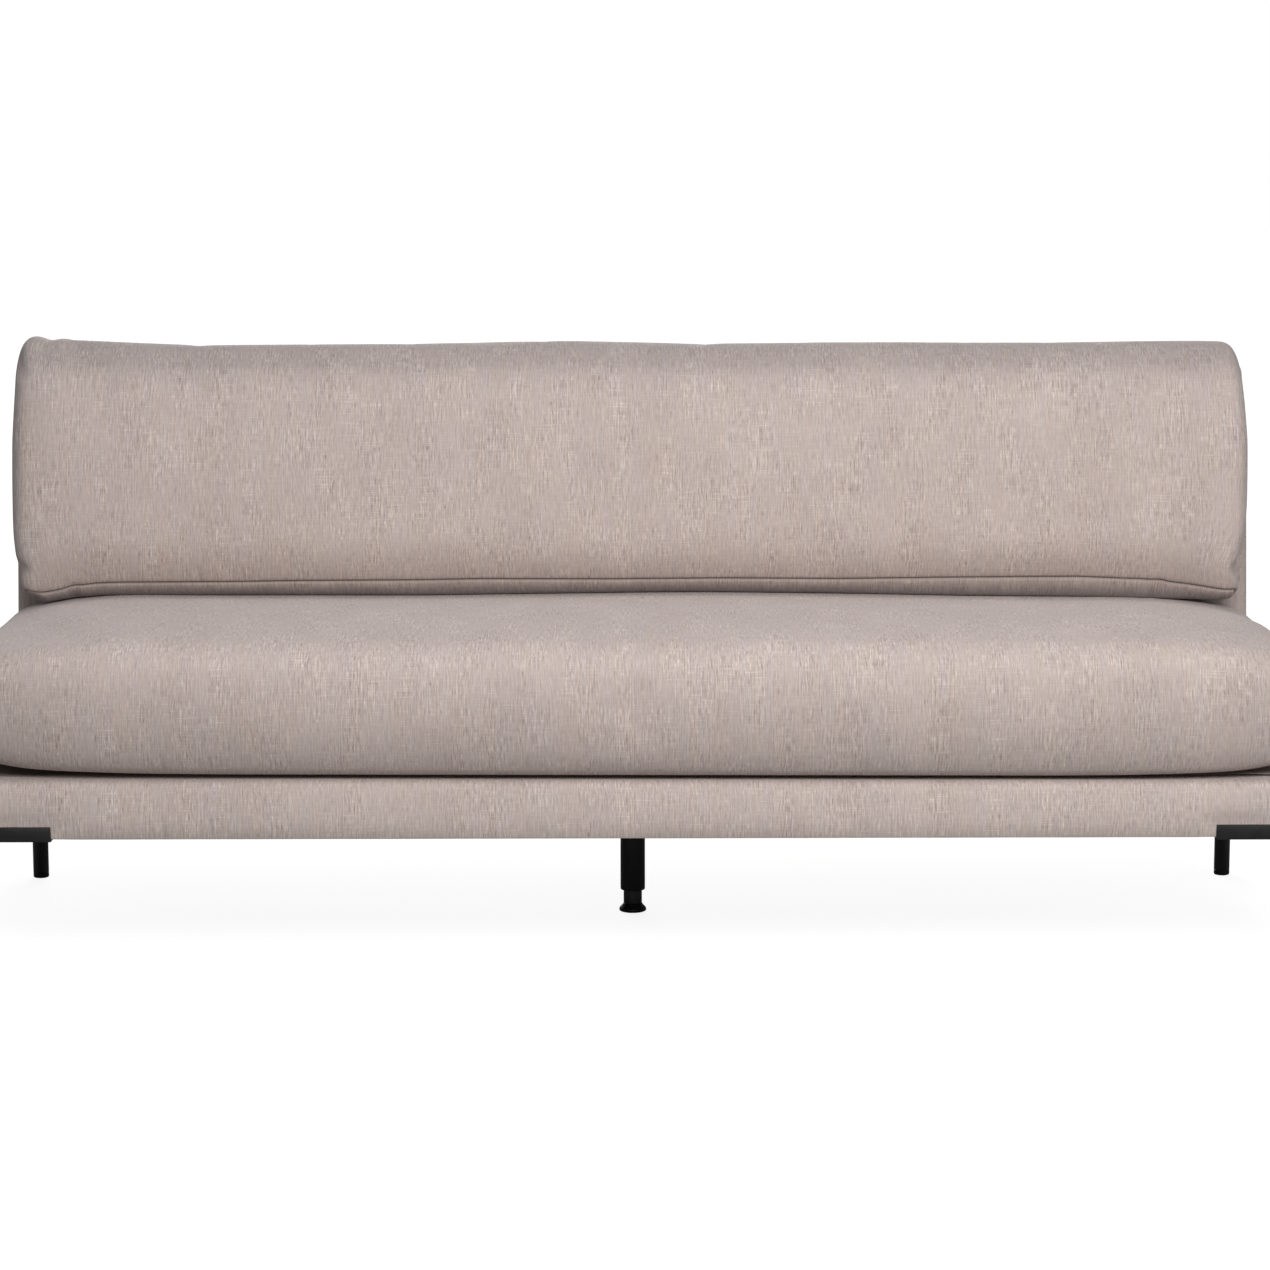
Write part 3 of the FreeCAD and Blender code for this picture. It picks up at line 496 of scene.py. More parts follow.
@dataclass(frozen=True)
class SawnTimber(Finish):
    """Planed softwood or pressed board."""

    name: str
    pale: Colour
    dark: Colour
    roughness: Pair = (0.55, 0.8)

    def build(self) -> bpy.types.Material:
        """Make straight grain on Object coordinates.

        Returns:
            The material.
        """
        material, s, shader = new_material(self.name)
        inputs = {"Vector": s.add("TexCoord").outputs["Object"], "Pale": self.pale, "Dark": self.dark}
        wood = s.add("Group", inputs, node_tree=Groups.wood()).outputs
        s.fill(shader, {"Base Color": wood["Color"],
                        "Roughness": s.span(wood["Height"], 0.3, 0.7, *self.roughness),
                        "Normal": s.bump(wood["Height"], 0.3, 0.0004)})
        return material


@dataclass(frozen=True)
class GrainedSolid(Finish):
    """Coated steel, plated steel or moulded plastic with a fine grain."""

    name: str
    deep: Colour
    pale: Colour
    metallic: float
    roughness: Pair
    scale: float
    depth: float
    specular: float = 0.5

    def build(self) -> bpy.types.Material:
        """Make the grain, with slow patches of colour and gloss.

        Returns:
            The material.
        """
        material, s, shader = new_material(self.name)
        where = s.add("TexCoord").outputs["Object"]
        grain = s.add("Group", {"Vector": where, "Scale": self.scale}, node_tree=Groups.grain()).outputs
        s.fill(shader, {"Base Color": s.mixed(grain["Patch"], self.deep, self.pale),
                        "Roughness": s.span(grain["Patch"], 0.0, 1.0, *self.roughness),
                        "Metallic": self.metallic, "Specular IOR Level": self.specular,
                        "Normal": s.bump(grain["Height"], 0.35, self.depth)})
        return material


CLOTH = HeatherCloth()
# The same cloth made lighter for the base: painted light, standing in for light the base lacks
BASE_CLOTH_PAINTED_LIGHTER = HeatherCloth("heathered_cloth_painted_lighter",
                          srgb(156, 141, 135), srgb(194, 181, 176), srgb(229, 217, 209))
DECK_LINING = FeltLining("deck_lining", srgb(122, 111, 105), srgb(158, 146, 139))
DUST_LINING = FeltLining("dust_lining", srgb(18, 18, 19), srgb(38, 38, 40))
FOAM = FeltLining("cut_foam", srgb(196, 178, 136), srgb(228, 214, 176), 1400.0)
FIBRE = FeltLining("fibre_wadding", srgb(214, 214, 212), srgb(240, 240, 238), 400.0)
CROSS_WEBBING = StripedWebbing("cross_webbing_weave", srgb(40, 38, 37), srgb(150, 70, 50), 0)
LONG_WEBBING = StripedWebbing("long_webbing_weave", srgb(40, 38, 37), srgb(150, 70, 50), 1)
ZIP_TAPE = StripedWebbing("zip_tape_weave", srgb(120, 108, 102), srgb(150, 138, 130), 1)
TIMBER = SawnTimber("planed_pine", srgb(214, 184, 138), srgb(176, 138, 92))
BOARD = SawnTimber("pressed_board", srgb(150, 112, 78), srgb(116, 82, 55), (0.6, 0.75))
BLACK_STEEL = GrainedSolid("black_powder_coat", srgb(18, 18, 19), srgb(23, 23, 24),
                           0.0, (0.34, 0.44), 1600.0, 0.0002)
ZINC_STEEL = GrainedSolid("zinc_plate", srgb(150, 150, 146), srgb(186, 187, 184),
                          1.0, (0.28, 0.45), 900.0, 0.0001)
BLACK_PLASTIC = GrainedSolid("moulded_black_plastic", srgb(16, 16, 17), srgb(21, 21, 22),
                             0.0, (0.42, 0.55), 2200.0, 0.0002, 0.3)

SLOT_FINISHES: dict[str, Finish] = {
    "upholstery": CLOTH,
    "lining": DECK_LINING,
    "foam": FOAM,
    "fibre": FIBRE,
    "webbing": CROSS_WEBBING,
    "zip_tape": ZIP_TAPE,
    "timber": TIMBER,
    "board": BOARD,
    "black_steel": BLACK_STEEL,
    "zinc_steel": ZINC_STEEL,
    "black_plastic": BLACK_PLASTIC,
}


class Panel(Enum):
    """Cloth panels of a soft box, by the side they lie on."""

    LEFT = 1
    RIGHT = 2
    FRONT = 3
    REAR = 4
    BOTTOM = 5
    TOP = 6


def finished(mesh: bmesh.types.BMesh, name: str, body: str) -> bpy.types.Object:
    """Turn a bmesh into a smooth piece that rides on a body.

    Args:
        mesh: The modelled piece, in metres, in the shared frame. It is freed.
        name: The piece's name.
        body: The body that it moves with.

    Returns:
        The new object.
    """
    data = bpy.data.meshes.new(name)
    mesh.to_mesh(data)
    mesh.free()
    data.shade_smooth()
    piece = bpy.data.objects.new(name, data)
    bpy.context.scene.collection.objects.link(piece)
    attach(piece, body)
    LOG.info("%s: %d faces, on %s", name, len(data.polygons), body)
    return piece


def vectors(items: Any, name: str) -> np.ndarray:
    """Read one vector from each item of a mesh.

    Args:
        items: The mesh's vertices, or their normals.
        name: The name of the vector.

    Returns:
        A row for each item.
    """
    flat = np.empty(len(items) * 3, np.float32)
    items.foreach_get(name, flat)
    return flat.reshape(-1, 3).astype(float)


def places(piece: bpy.types.Object) -> np.ndarray:
    """Where the piece's vertices are."""
    return vectors(piece.data.vertices, "co")


def place(piece: bpy.types.Object, points: np.ndarray) -> None:
    """Move the piece's vertices."""
    piece.data.vertices.foreach_set("co", points.astype(np.float32).ravel())
    piece.data.update()


def mark(piece: bpy.types.Object, name: str, values: np.ndarray) -> None:
    """Keep a value for each vertex of the piece."""
    layer = piece.data.attributes.new(name, "FLOAT", "POINT")
    layer.data.foreach_set("value", values.astype(np.float32))


@dataclass
class SoftBox:
    """A closed box of cloth panels on an even grid, with rounded edges.

    Radii across the depth are given at the bottom and the top, and radii up the height are given at
    the front and the rear.
    """

    low: Point
    high: Point
    cell: float
    end_radius: float
    front_radius: Pair
    rear_radius: Pair
    bottom_radius: Pair
    top_radius: Pair

    def mesh(self) -> bmesh.types.BMesh:
        """Cut a cube into the grid, name its panels and lay the cloth map on them.

        Returns:
            The box, its edges still square.
        """
        box = bmesh.new()
        bmesh.ops.create_cube(box, size=1.0)
        size = Vector(self.high) - Vector(self.low)
        for axis in range(3):
            along = [edge for edge in box.edges
                     if abs(edge.verts[0].co[axis] - edge.verts[1].co[axis]) > 0.5]
            cuts = max(round(size[axis] / self.cell), 2) - 1
            bmesh.ops.subdivide_edges(box, edges=along, cuts=cuts, use_grid_fill=True)
        panel = box.faces.layers.int.new("panel")
        for face in box.faces:
            centre = face.calc_center_median()
            axis = max(range(3), key=lambda index: abs(centre[index]))
            face[panel] = 2 * axis + (1 if centre[axis] < 0.0 else 2)
        middle = (Vector(self.high) + Vector(self.low)) / 2.0
        bmesh.ops.scale(box, vec=size, verts=box.verts)
        bmesh.ops.translate(box, vec=middle, verts=box.verts)
        self.lay_cloth(box, panel)
        return box

    def lay_cloth(self, box: bmesh.types.BMesh, panel: Any) -> None:
        """Give each panel its place on the cloth, in metres, unbroken over the top and front.

        Args:
            box: The square box.
            panel: The layer that names each face's panel.
        """
        cloth = box.loops.layers.uv.new(CLOTH_MAP)
        height = self.high[2] - self.low[2]
        depth = self.high[1] - self.low[1]
        for face in box.faces:
            side = Panel(face[panel])
            for loop in face.loops:
                x, y, z = loop.vert.co
                up, back = z - self.low[2], y - self.low[1]
                if side is Panel.FRONT:
                    spot = (x, up)
                elif side is Panel.TOP:
                    spot = (x, height + back)
                elif side is Panel.REAR:
                    spot = (x, height + depth + (height - up))
                elif side is Panel.BOTTOM:
                    spot = (x, -back)
                else:
                    spot = (y + (LEFT_END_CLOTH if side is Panel.LEFT else RIGHT_END_CLOTH), up)
                loop[cloth].uv = spot

    def rounded(self, points: np.ndarray) -> np.ndarray:
        """Round the edges.

        Args:
            points: Vertices of the square box.

        Returns:
            The vertices of the rounded box.
        """
        low, high = np.array(self.low), np.array(self.high)
        share = (points - low) / (high - low)

        def between(ends: Pair, axis: int) -> np.ndarray:
            """Radius of each vertex, from its place along an axis."""
            return ends[0] + (ends[1] - ends[0]) * share[:, axis]

        ends = np.full(len(points), self.end_radius)
        low_radii = np.stack([ends, between(self.front_radius, 2), between(self.bottom_radius, 1)], axis=1)
        high_radii = np.stack([ends, between(self.rear_radius, 2), between(self.top_radius, 1)], axis=1)
        core = np.clip(points, low + low_radii, high - high_radii)
        offset = points - core
        radii = np.where(offset < 0.0, low_radii, high_radii)
        unit = offset / radii
        length = np.linalg.norm(unit, axis=1)
        reach = np.abs(unit).max(axis=1) / np.maximum(length, 1e-9)
        return core + unit * radii * reach[:, None]

    def shares(self, points: np.ndarray) -> np.ndarray:
        """Where points lie in the box, from 0 to 1 on each axis."""
        low, high = np.array(self.low), np.array(self.high)
        return np.clip((points - low) / (high - low), 0.0, 1.0)


@dataclass(frozen=True)
class Inflation:
    """A short cloth simulation that fills a cover from inside."""

    pressure: float
    slack: float
    cap: float
    frames: int = 20
    quality: int = 6
    mass: float = 0.35
    stiffness: float = 14.0
    bending: float = 1.2

    def run(self, piece: bpy.types.Object, held: np.ndarray) -> None:
        """Swell the piece and keep the result in its mesh.

        Args:
            piece: The sewn cover, a little smaller than it will be.
            held: How firmly each vertex is held, from 0 to 1.
        """
        start = places(piece)
        group = piece.vertex_groups.new(name="held")
        for level in np.unique(np.round(held, 2)):
            chosen = np.nonzero(np.round(held, 2) == level)[0]
            group.add([int(index) for index in chosen], float(level), "REPLACE")
        swell = piece.modifiers.new("swell", "CLOTH")
        cloth = swell.settings
        cloth.quality = self.quality
        cloth.mass = self.mass
        cloth.tension_stiffness = self.stiffness
        cloth.compression_stiffness = self.stiffness
        cloth.shear_stiffness = self.stiffness / 3.0
        cloth.bending_stiffness = self.bending
        cloth.use_pressure = True
        cloth.uniform_pressure_force = self.pressure
        cloth.shrink_min = -self.slack
        cloth.vertex_group_mass = group.name
        cloth.pin_stiffness = 1.0
        cloth.effector_weights.gravity = 0.0
        swell.point_cache.frame_start = 1
        swell.point_cache.frame_end = self.frames
        scene = bpy.context.scene
        for step in range(1, self.frames + 1):
            scene.frame_set(step)
        shown = piece.evaluated_get(bpy.context.evaluated_depsgraph_get())
        moved = vectors(shown.data.vertices, "co") - start
        length = np.linalg.norm(moved, axis=1)
        piece.modifiers.remove(swell)
        piece.vertex_groups.remove(group)
        scene.frame_set(1)
        moved *= np.minimum(1.0, self.cap / np.maximum(length, 1e-9))[:, None]
        place(piece, start + moved)
        LOG.info("%s: swelled by %.1f mm at most", piece.name, 1000.0 * min(length.max(), self.cap))


@dataclass(frozen=True)
class Crease:
    """A soft fold in the front of a cover, along a straight run given by x and z.

    The ridge's place and width are given in widths of the fold.
    """

    start: Pair
    end: Pair
    depth: float = 0.004
    width: float = 0.010
    ridge: float = 0.35
    ridge_place: float = 1.6
    ridge_width: float = 0.7

    def press(self, points: np.ndarray, normals: np.ndarray) -> np.ndarray:
        """Press the fold in, with a low ridge on each side.

        Args:
            points: Vertices of the cover.
            normals: Their normals.

        Returns:
            The moved vertices.
        """
        flat = points[:, [0, 2]]
        begin, run = np.array(self.start), np.array(self.end) - np.array(self.start)
        share = np.clip((flat - begin) @ run / (run @ run), 0.0, 1.0)
        away = np.linalg.norm(flat - begin - share[:, None] * run, axis=1) / self.width
        fold = np.exp(-away ** 2) - self.ridge * np.exp(-((away - self.ridge_place) / self.ridge_width) ** 2)
        facing = smooth_step(0.0, 0.5, -normals[:, 1])
        return points - normals * (self.depth * fold * facing)[:, None]


def press_creases(piece: bpy.types.Object, creases: Iterable[Crease]) -> None:
    """Press a set of folds into a cover, one after the other."""
    for crease in creases:
        place(piece, crease.press(places(piece), vectors(piece.data.vertex_normals, "vector")))


@dataclass(frozen=True)
class Seam:
    """Plain sewn seams between pairs of panels."""

    pairs: tuple[tuple[Panel, Panel], ...]
    width: float = 0.0024
    depth: float = 0.005
    # How dark the groove's bottom is painted: painted shade, with some dirt
    shade: float = 1.0

    def sew(self, piece: bpy.types.Object) -> None:
        """Draw the panels' edges in to a narrow groove, and mark its bottom for painted shade with some dirt.

        Args:
            piece: The cover, with its panels named.
        """
        mesh = bmesh.new()
        mesh.from_mesh(piece.data)
        panel = mesh.faces.layers.int["panel"]
        marks = mesh.verts.layers.float
        shades = marks.get(SEAM_SHADE_MARK) or marks.new(SEAM_SHADE_MARK)
        wanted = [{first.value, second.value} for first, second in self.pairs]
        line = [edge for edge in mesh.edges if {face[panel] for face in edge.link_faces} in wanted]
        made = bmesh.ops.bevel(mesh, geom=line, offset=self.width, offset_type="OFFSET", affect="EDGES",
                               segments=2, profile=0.5, material=-1, clamp_overlap=True)
        band = set(made["faces"])
        mesh.normal_update()
        bottom = [vert for vert in made["verts"] if all(face in band for face in vert.link_faces)]
        for vert in bottom:
            vert.co -= vert.normal * self.depth
            # Painted shade of the groove, with some dirt
            vert[shades] = self.shade
        mesh.to_mesh(piece.data)
        mesh.free()
        piece.data.shade_smooth()
        LOG.info("%s: %d seam edges", piece.name, len(line))


def finish_cover(cover: bpy.types.Object, cloth: Finish, fill: float, *nodes: str) -> bpy.types.Object:
    """Smooth a sewn cover, dress it and hide the solids that it stands for.

    Args:
        cover: The sewn cover.
        cloth: What it is dressed in.
        fill: How full its padding is. Not used.
        nodes: The solids.

    Returns:
        The cover.
    """
    surface = cover.modifiers.new("surface", "SUBSURF")
    surface.levels = 1
    surface.render_levels = 1
    cloth.dress(cover)
    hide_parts(*nodes)
    return cover


@dataclass
class SeatCushion:
    """Loose seat cushion, full in front and rolled down at its ends.

    Its lines give a height at each x, and a blur is how far a line's corners are smoothed.
    """

    body: str = "seat_cushion"
    half_width: float = 0.9965
    bottom: float = 0.2856
    top: float = 0.4736
    front: float = -0.3740
    rear: float = 0.2392
    cell: float = 0.012
    bulge: float = 0.0225
    bulge_depth: float = 0.16
    edge_drop: float = 0.0046
    edge_depth: float = 0.045
    edge_tilt: float = 0.0040
    tilt_length: float = 0.65
    tilt_limit: float = 1.6
    crown: float = 0.003
    crown_rear: float = 0.125
    end_length: float = 0.25
    end_drop: float = 0.058
    end_setback: float = 0.045
    end_rear_draw: float = 0.012
    end_bulge_loss: float = 0.5
    rear_line: Line = (
        (-1.0, -0.0008), (-0.86, -0.0018), (-0.8, -0.0026), (-0.715, -0.0045), (-0.525, -0.0050),
        (-0.336, -0.0056), (-0.146, -0.0034), (0.044, -0.0012), (0.139, -0.0013), (0.234, -0.0026),
        (0.328, -0.0038), (0.423, -0.0056), (0.518, -0.0078), (0.613, -0.0088), (0.708, -0.0096),
        (0.8, -0.0096), (1.0, -0.0068))
    rear_line_blur: float = 0.02
    rear_line_depth: float = 0.14
    bottom_rise: Line = (
        (0.0, 0.0), (0.60, 0.0), (0.70, 0.0008), (0.765, 0.0024), (0.816, 0.004), (0.84, 0.005),
        (0.875, 0.007), (0.907, 0.0113), (0.95, 0.021), (1.0, 0.040))
    bottom_rise_blur: float = 0.012
    rise_fade: Pair = (0.03, 0.20)
    rise_fade_share: float = 0.85
    held_below: float = 0.06
    held_loosely: float = 0.12
    held_behind: Pair = (0.55, 0.80)
    filling: Inflation = Inflation(pressure=0.6, slack=0.001, cap=0.008)
    end_seam: float = 0.0014
    rear_seam: float = 0.004

    def box(self) -> SoftBox:
        """The cushion before it settles."""
        return SoftBox(
            low=(-self.half_width, self.front, self.bottom),
            high=(self.half_width, self.rear, self.top),
            cell=self.cell,
            end_radius=0.022,
            front_radius=(0.022, 0.042),
            rear_radius=(0.015, 0.02),
            bottom_radius=(0.038, 0.015),
            top_radius=(0.040, 0.02),
        )

    def settle(self, points: np.ndarray, box: SoftBox) -> np.ndarray:
        """Lean the rear on the back, swell the front, crown the top and roll the ends down.

        Args:
            points: Vertices of the rounded box.
            box: The box they belong to.

        Returns:
            The vertices in their settled places.
        """
        _, back, up = box.shares(points).T
        x, y, z = points.T
        ahead = y - self.front
        draw = rolled(np.abs(x), self.half_width, self.end_length)
        moved = points.copy()
        front_side = 1.0 - smooth_step(0.0, self.bulge_depth, ahead)
        moved[:, 1] -= self.bulge * domed(up) * front_side * (1.0 - self.end_bulge_loss * draw)
        tilt = np.clip(x / self.tilt_length, -self.tilt_limit, self.tilt_limit)
        edge = (1.0 - smooth_step(0.0, self.edge_depth, ahead)) * (1.0 - up) ** 3
        moved[:, 2] -= (self.edge_drop + self.edge_tilt * tilt) * edge
        moved[:, 1] += (z - self.bottom) * math.tan(RECLINE) * back ** 3
        hump = np.clip(domed(ahead / (self.crown_rear - self.front)), 0.0, 1.0)
        moved[:, 2] += self.crown * hump * up * (1.0 - draw)
        rise = eased(self.bottom_rise, np.abs(x), self.bottom_rise_blur)
        rise *= 1.0 - self.rise_fade_share * smooth_step(*self.rise_fade, ahead)
        moved[:, 2] += rise * (1.0 - up) ** 1.5 - draw * self.end_drop * up
        level = eased(self.rear_line, x, self.rear_line_blur)
        moved[:, 2] += level * smooth_step(0.0, self.rear_line_depth, y) * up
        moved[:, 1] += draw * (self.end_setback * (1.0 - back) - self.end_rear_draw * back)
        return moved

    def build(self) -> bpy.types.Object:
        """Make the cushion.

        Returns:
            The dressed cushion.
        """
        box = self.box()
        cushion = finished(box.mesh(), "seat_cushion", self.body)
        square = places(cushion)
        place(cushion, self.settle(box.rounded(square), box))
        _, back, up = box.shares(square).T
        behind = np.maximum(self.held_loosely, smooth_step(*self.held_behind, back))
        self.filling.run(cushion, np.where(up < self.held_below, 1.0, behind))
        sides = (Panel.FRONT, Panel.TOP, Panel.REAR)
        ends = [(end, side) for end in (Panel.LEFT, Panel.RIGHT) for side in sides]
        Seam(tuple(ends), depth=self.end_seam).sew(cushion)
        lower = ((Panel.LEFT, Panel.BOTTOM), (Panel.RIGHT, Panel.BOTTOM))
        Seam(lower, depth=self.end_seam, shade=0.0).sew(cushion)
        Seam(((Panel.REAR, Panel.TOP), (Panel.REAR, Panel.BOTTOM)), depth=self.rear_seam).sew(cushion)
        return finish_cover(cushion, CLOTH, 0.85, "seat_cushion_cover", "seat_cushion_fibre_wrap",
                            "seat_cushion_foam_core")


@dataclass
class BackCushion:
    """Loose back cushion that stands on the seat and leans on the back.

    Its rest and seam lines give a height at each x, the top lines what is added to the top's height,
    and the insets how far an end is drawn in at each share of the height.
    """

    body: str = "back_cushion"
    half_width: float = 0.9742
    shift: float = -0.0020
    bottom: float = 0.4698
    top: float = 0.8530
    thickness: float = 0.13
    bottom_depth: float = 0.150
    top_depth: float = 0.110
    cell: float = 0.0092
    gap: float = 0.0006
    bulge: float = 0.013
    bulge_depth: float = 0.09
    roll: float = 0.031
    roll_share: float = 0.24
    crown: float = 0.006
    end_length: float = 0.028
    end_drop: float = 0.009
    end_thinning: float = 0.019
    end_rear_draw: float = 0.006
    left_turn: float = 0.012
    left_turn_length: float = 0.065
    left_turn_rise: Pair = (0.02, 0.15)
    gusset_run: float = 0.046
    gusset_curve: float = 1.7
    gusset_fold: float = 0.0032
    fold_waves: tuple[Wave, ...] = ((1.0, 41.0, 1.9, 13.0), (0.6, 97.0, 2.4, 7.0))
    # Painted shade on the gusset under the lower seam and over the top band
    under_painted_shade: float = 1.0
    under_painted_shade_share: float = 0.6
    top_painted_shade: Line = (
        (0.0, 0.0), (0.83, 0.0), (0.87, 0.10), (0.90, 0.22), (0.93, 0.38), (0.955, 0.545), (1.0, 0.545))
    top_painted_shade_blur: float = 0.01
    top_waves: Line = (
        (-0.98, 0.008), (-0.90, 0.0075), (-0.87, 0.0055), (-0.811, 0.001), (-0.684, -0.0032),
        (-0.494, -0.0020), (-0.304, -0.0014), (-0.114, 0.0036), (0.012, 0.0), (0.139, -0.0026),
        (0.329, 0.0004), (0.645, -0.0012), (0.898, 0.0020), (0.95, 0.002), (0.98, 0.001))
    top_waves_blur: float = 0.055
    top_ears: Line = (
        (-0.985, 0.0), (-0.963, 0.003), (-0.9435, 0.0066), (-0.9225, -0.0024), (-0.904, 0.0036),
        (-0.882, 0.0), (0.98, 0.0))
    top_ears_blur: float = 0.005
    rest_line: Line = (
        (-0.985, 0.4775), (-0.974, 0.4740), (-0.956, 0.4600), (-0.942, 0.4570), (-0.9, 0.4638),
        (-0.85, 0.4684), (-0.82, 0.4694), (-0.71, 0.4695), (-0.52, 0.4691), (-0.33, 0.4686),
        (-0.14, 0.4708), (0.05, 0.4730), (0.14, 0.4729), (0.33, 0.4704), (0.52, 0.4664),
        (0.71, 0.4644), (0.82, 0.4618), (0.87, 0.4604), (0.9, 0.4597), (0.95, 0.4585),
        (0.97, 0.4600), (0.979, 0.4650), (0.985, 0.4720))
    rest_line_blur: float = 0.012
    seam_line: Line = (
        (-0.98, 0.4775), (-0.924, 0.4766), (-0.908, 0.4808), (-0.893, 0.4832), (-0.869, 0.4880),
        (-0.846, 0.4911), (-0.814, 0.4926), (-0.704, 0.4932), (-0.61, 0.4938), (-0.516, 0.4953),
        (-0.33, 0.4962), (-0.234, 0.4980), (-0.046, 0.4968), (0.143, 0.4981), (0.331, 0.4969),
        (0.425, 0.4983), (0.52, 0.4997), (0.707, 0.5010), (0.77, 0.4978), (0.817, 0.4961),
        (0.864, 0.4897), (0.896, 0.4856), (0.919, 0.4816), (0.943, 0.4774), (0.98, 0.4765))
    seam_line_blur: float = 0.008
    left_inset: Line = (
        (0.0, 0.015), (0.06, 0.0155), (0.115, 0.0115), (0.18, 0.0072), (0.25, 0.0042),
        (0.30, 0.0033), (0.44, 0.0017), (0.64, 0.0), (0.80, 0.0014), (0.90, 0.0025), (0.96, 0.0025),
        (1.0, 0.004))
    right_inset: Line = (
        (0.0, 0.014), (0.05, 0.016), (0.10, 0.025), (0.15, 0.020), (0.25, 0.008), (0.40, 0.0038),
        (0.50, 0.0025), (0.64, 0.0008), (0.80, 0.0036), (0.90, 0.0066), (1.0, 0.010))
    inset_blur: float = 0.02
    inset_length: float = 0.15
    creases: tuple[Crease, ...] = (
        Crease((-0.968, 0.843), (-0.957, 0.818)), Crease((-0.982, 0.5195), (-0.953, 0.517), 0.005),
        Crease((0.976, 0.523), (0.948, 0.513), 0.005), Crease((-0.965, 0.4765), (-0.940, 0.466), 0.005),
        Crease((-0.876, 0.487), (-0.879, 0.465), 0.003), Crease((0.830, 0.490), (0.822, 0.463), 0.003))
    held_below: float = 0.04
    held_behind: float = 0.95
    held_loosely: float = 0.12
    filling: Inflation = Inflation(pressure=1.2, slack=0.001, cap=0.006)

    def box(self) -> SoftBox:
        """The cushion upright, before it leans and settles."""
        return SoftBox(
            low=(-self.half_width, 0.0, self.bottom),
            high=(self.half_width, self.thickness, self.top),
            cell=self.cell,
            end_radius=0.018,
            front_radius=(0.010, 0.052),
            rear_radius=(0.015, 0.030),
            bottom_radius=(0.010, 0.012),
            top_radius=(0.052, 0.027),
        )

    def settle(self, points: np.ndarray, box: SoftBox) -> np.ndarray:
        """Lift the lower seam, roll the lower front in, wave the top, draw in the ends and lean it all back.

        Args:
            points: Vertices of the rounded, upright box.
            box: The box they belong to.

        Returns:
            The vertices in their settled places.
        """
        _, back, up = box.shares(points).T
        x, behind, z = points.T.copy()
        wide = np.abs(x)
        draw = rolled(wide, self.half_width, self.end_length)
        near_front = np.clip(1.0 - behind / self.gusset_run, 0.0, 1.0) ** self.gusset_curve
        rest = eased(self.rest_line, x, self.rest_line_blur)
        seam = eased(self.seam_line, x, self.seam_line_blur)
        z += (rest + (seam - rest) * near_front - self.bottom) * (1.0 - up) ** 4
        waves = eased(self.top_waves, x, self.top_waves_blur) + eased(self.top_ears, x, self.top_ears_blur)
        z += waves * up ** 4
        z += self.crown * domed(back) * up * (1.0 - draw)
        z -= draw * self.end_drop * up
        depth = self.bottom_depth + (self.top_depth - self.bottom_depth) * up
        swell = self.bulge * domed(up) - self.roll * np.clip(1.0 - up / self.roll_share, 0.0, 1.0) ** 2
        front_side = 1.0 - smooth_step(0.0, self.bulge_depth, behind)
        y = back_face_y(z) - self.gap - (1.0 - back) * depth - swell * front_side
        folds = sum(swaying(x, wave) for wave in self.fold_waves)
        y += self.gusset_fold * folds * near_front * (1.0 - near_front) * (1.0 - up) ** 8
        y += draw * (self.end_thinning * (1.0 - back) - self.end_rear_draw * back)
        turn = np.clip((self.left_turn_length - self.half_width - x) / self.left_turn_length, 0.0, 1.0) ** 1.5
        y += self.left_turn * turn * (1.0 - back) * smooth_step(*self.left_turn_rise, up)
        left, right = (eased(line, up, self.inset_blur) for line in (self.left_inset, self.right_inset))
        near_end = smooth_step(self.half_width - self.inset_length, self.half_width, wide)
        x -= np.sign(x) * np.where(x < 0.0, left, right) * near_end
        return np.stack([x + self.shift, y, z], axis=1)

    def painted_shade(self, square: np.ndarray, box: SoftBox) -> np.ndarray:
        """How much painted shade each vertex gets, over the top band and on the gusset under the lower seam.

        Args:
            square: Vertices of the square box.
            box: The box they belong to.

        Returns:
            A value from 0 to 1 for each vertex.
        """
        up = box.shares(square)[:, 2]
        under = smooth_step(0.0, self.under_painted_shade_share * self.gusset_run, square[:, 1]) * (up < FLUSH)
        return np.maximum(eased(self.top_painted_shade, up, self.top_painted_shade_blur), self.under_painted_shade * under)

    def build(self) -> bpy.types.Object:
        """Make the cushion.

        Returns:
            The dressed cushion.
        """
        box = self.box()
        cushion = finished(box.mesh(), "back_cushion", self.body)
        square = places(cushion)
        place(cushion, self.settle(box.rounded(square), box))
        _, back, up = box.shares(square).T
        firm = (up < self.held_below) | (back > self.held_behind)
        self.filling.run(cushion, np.where(firm, 1.0, self.held_loosely))
        press_creases(cushion, self.creases)
        # Paint shade over the top band and on the gusset under the lower seam
        mark(cushion, PAINTED_SHADE_MARK, self.painted_shade(square, box))
        Seam(tuple((Panel.BOTTOM, side) for side in (Panel.FRONT, Panel.LEFT, Panel.RIGHT))).sew(cushion)
        return finish_cover(cushion, CLOTH, 0.7, "back_cushion_cover", "back_cushion_fibre_wrap",
                            "back_cushion_foam_core")


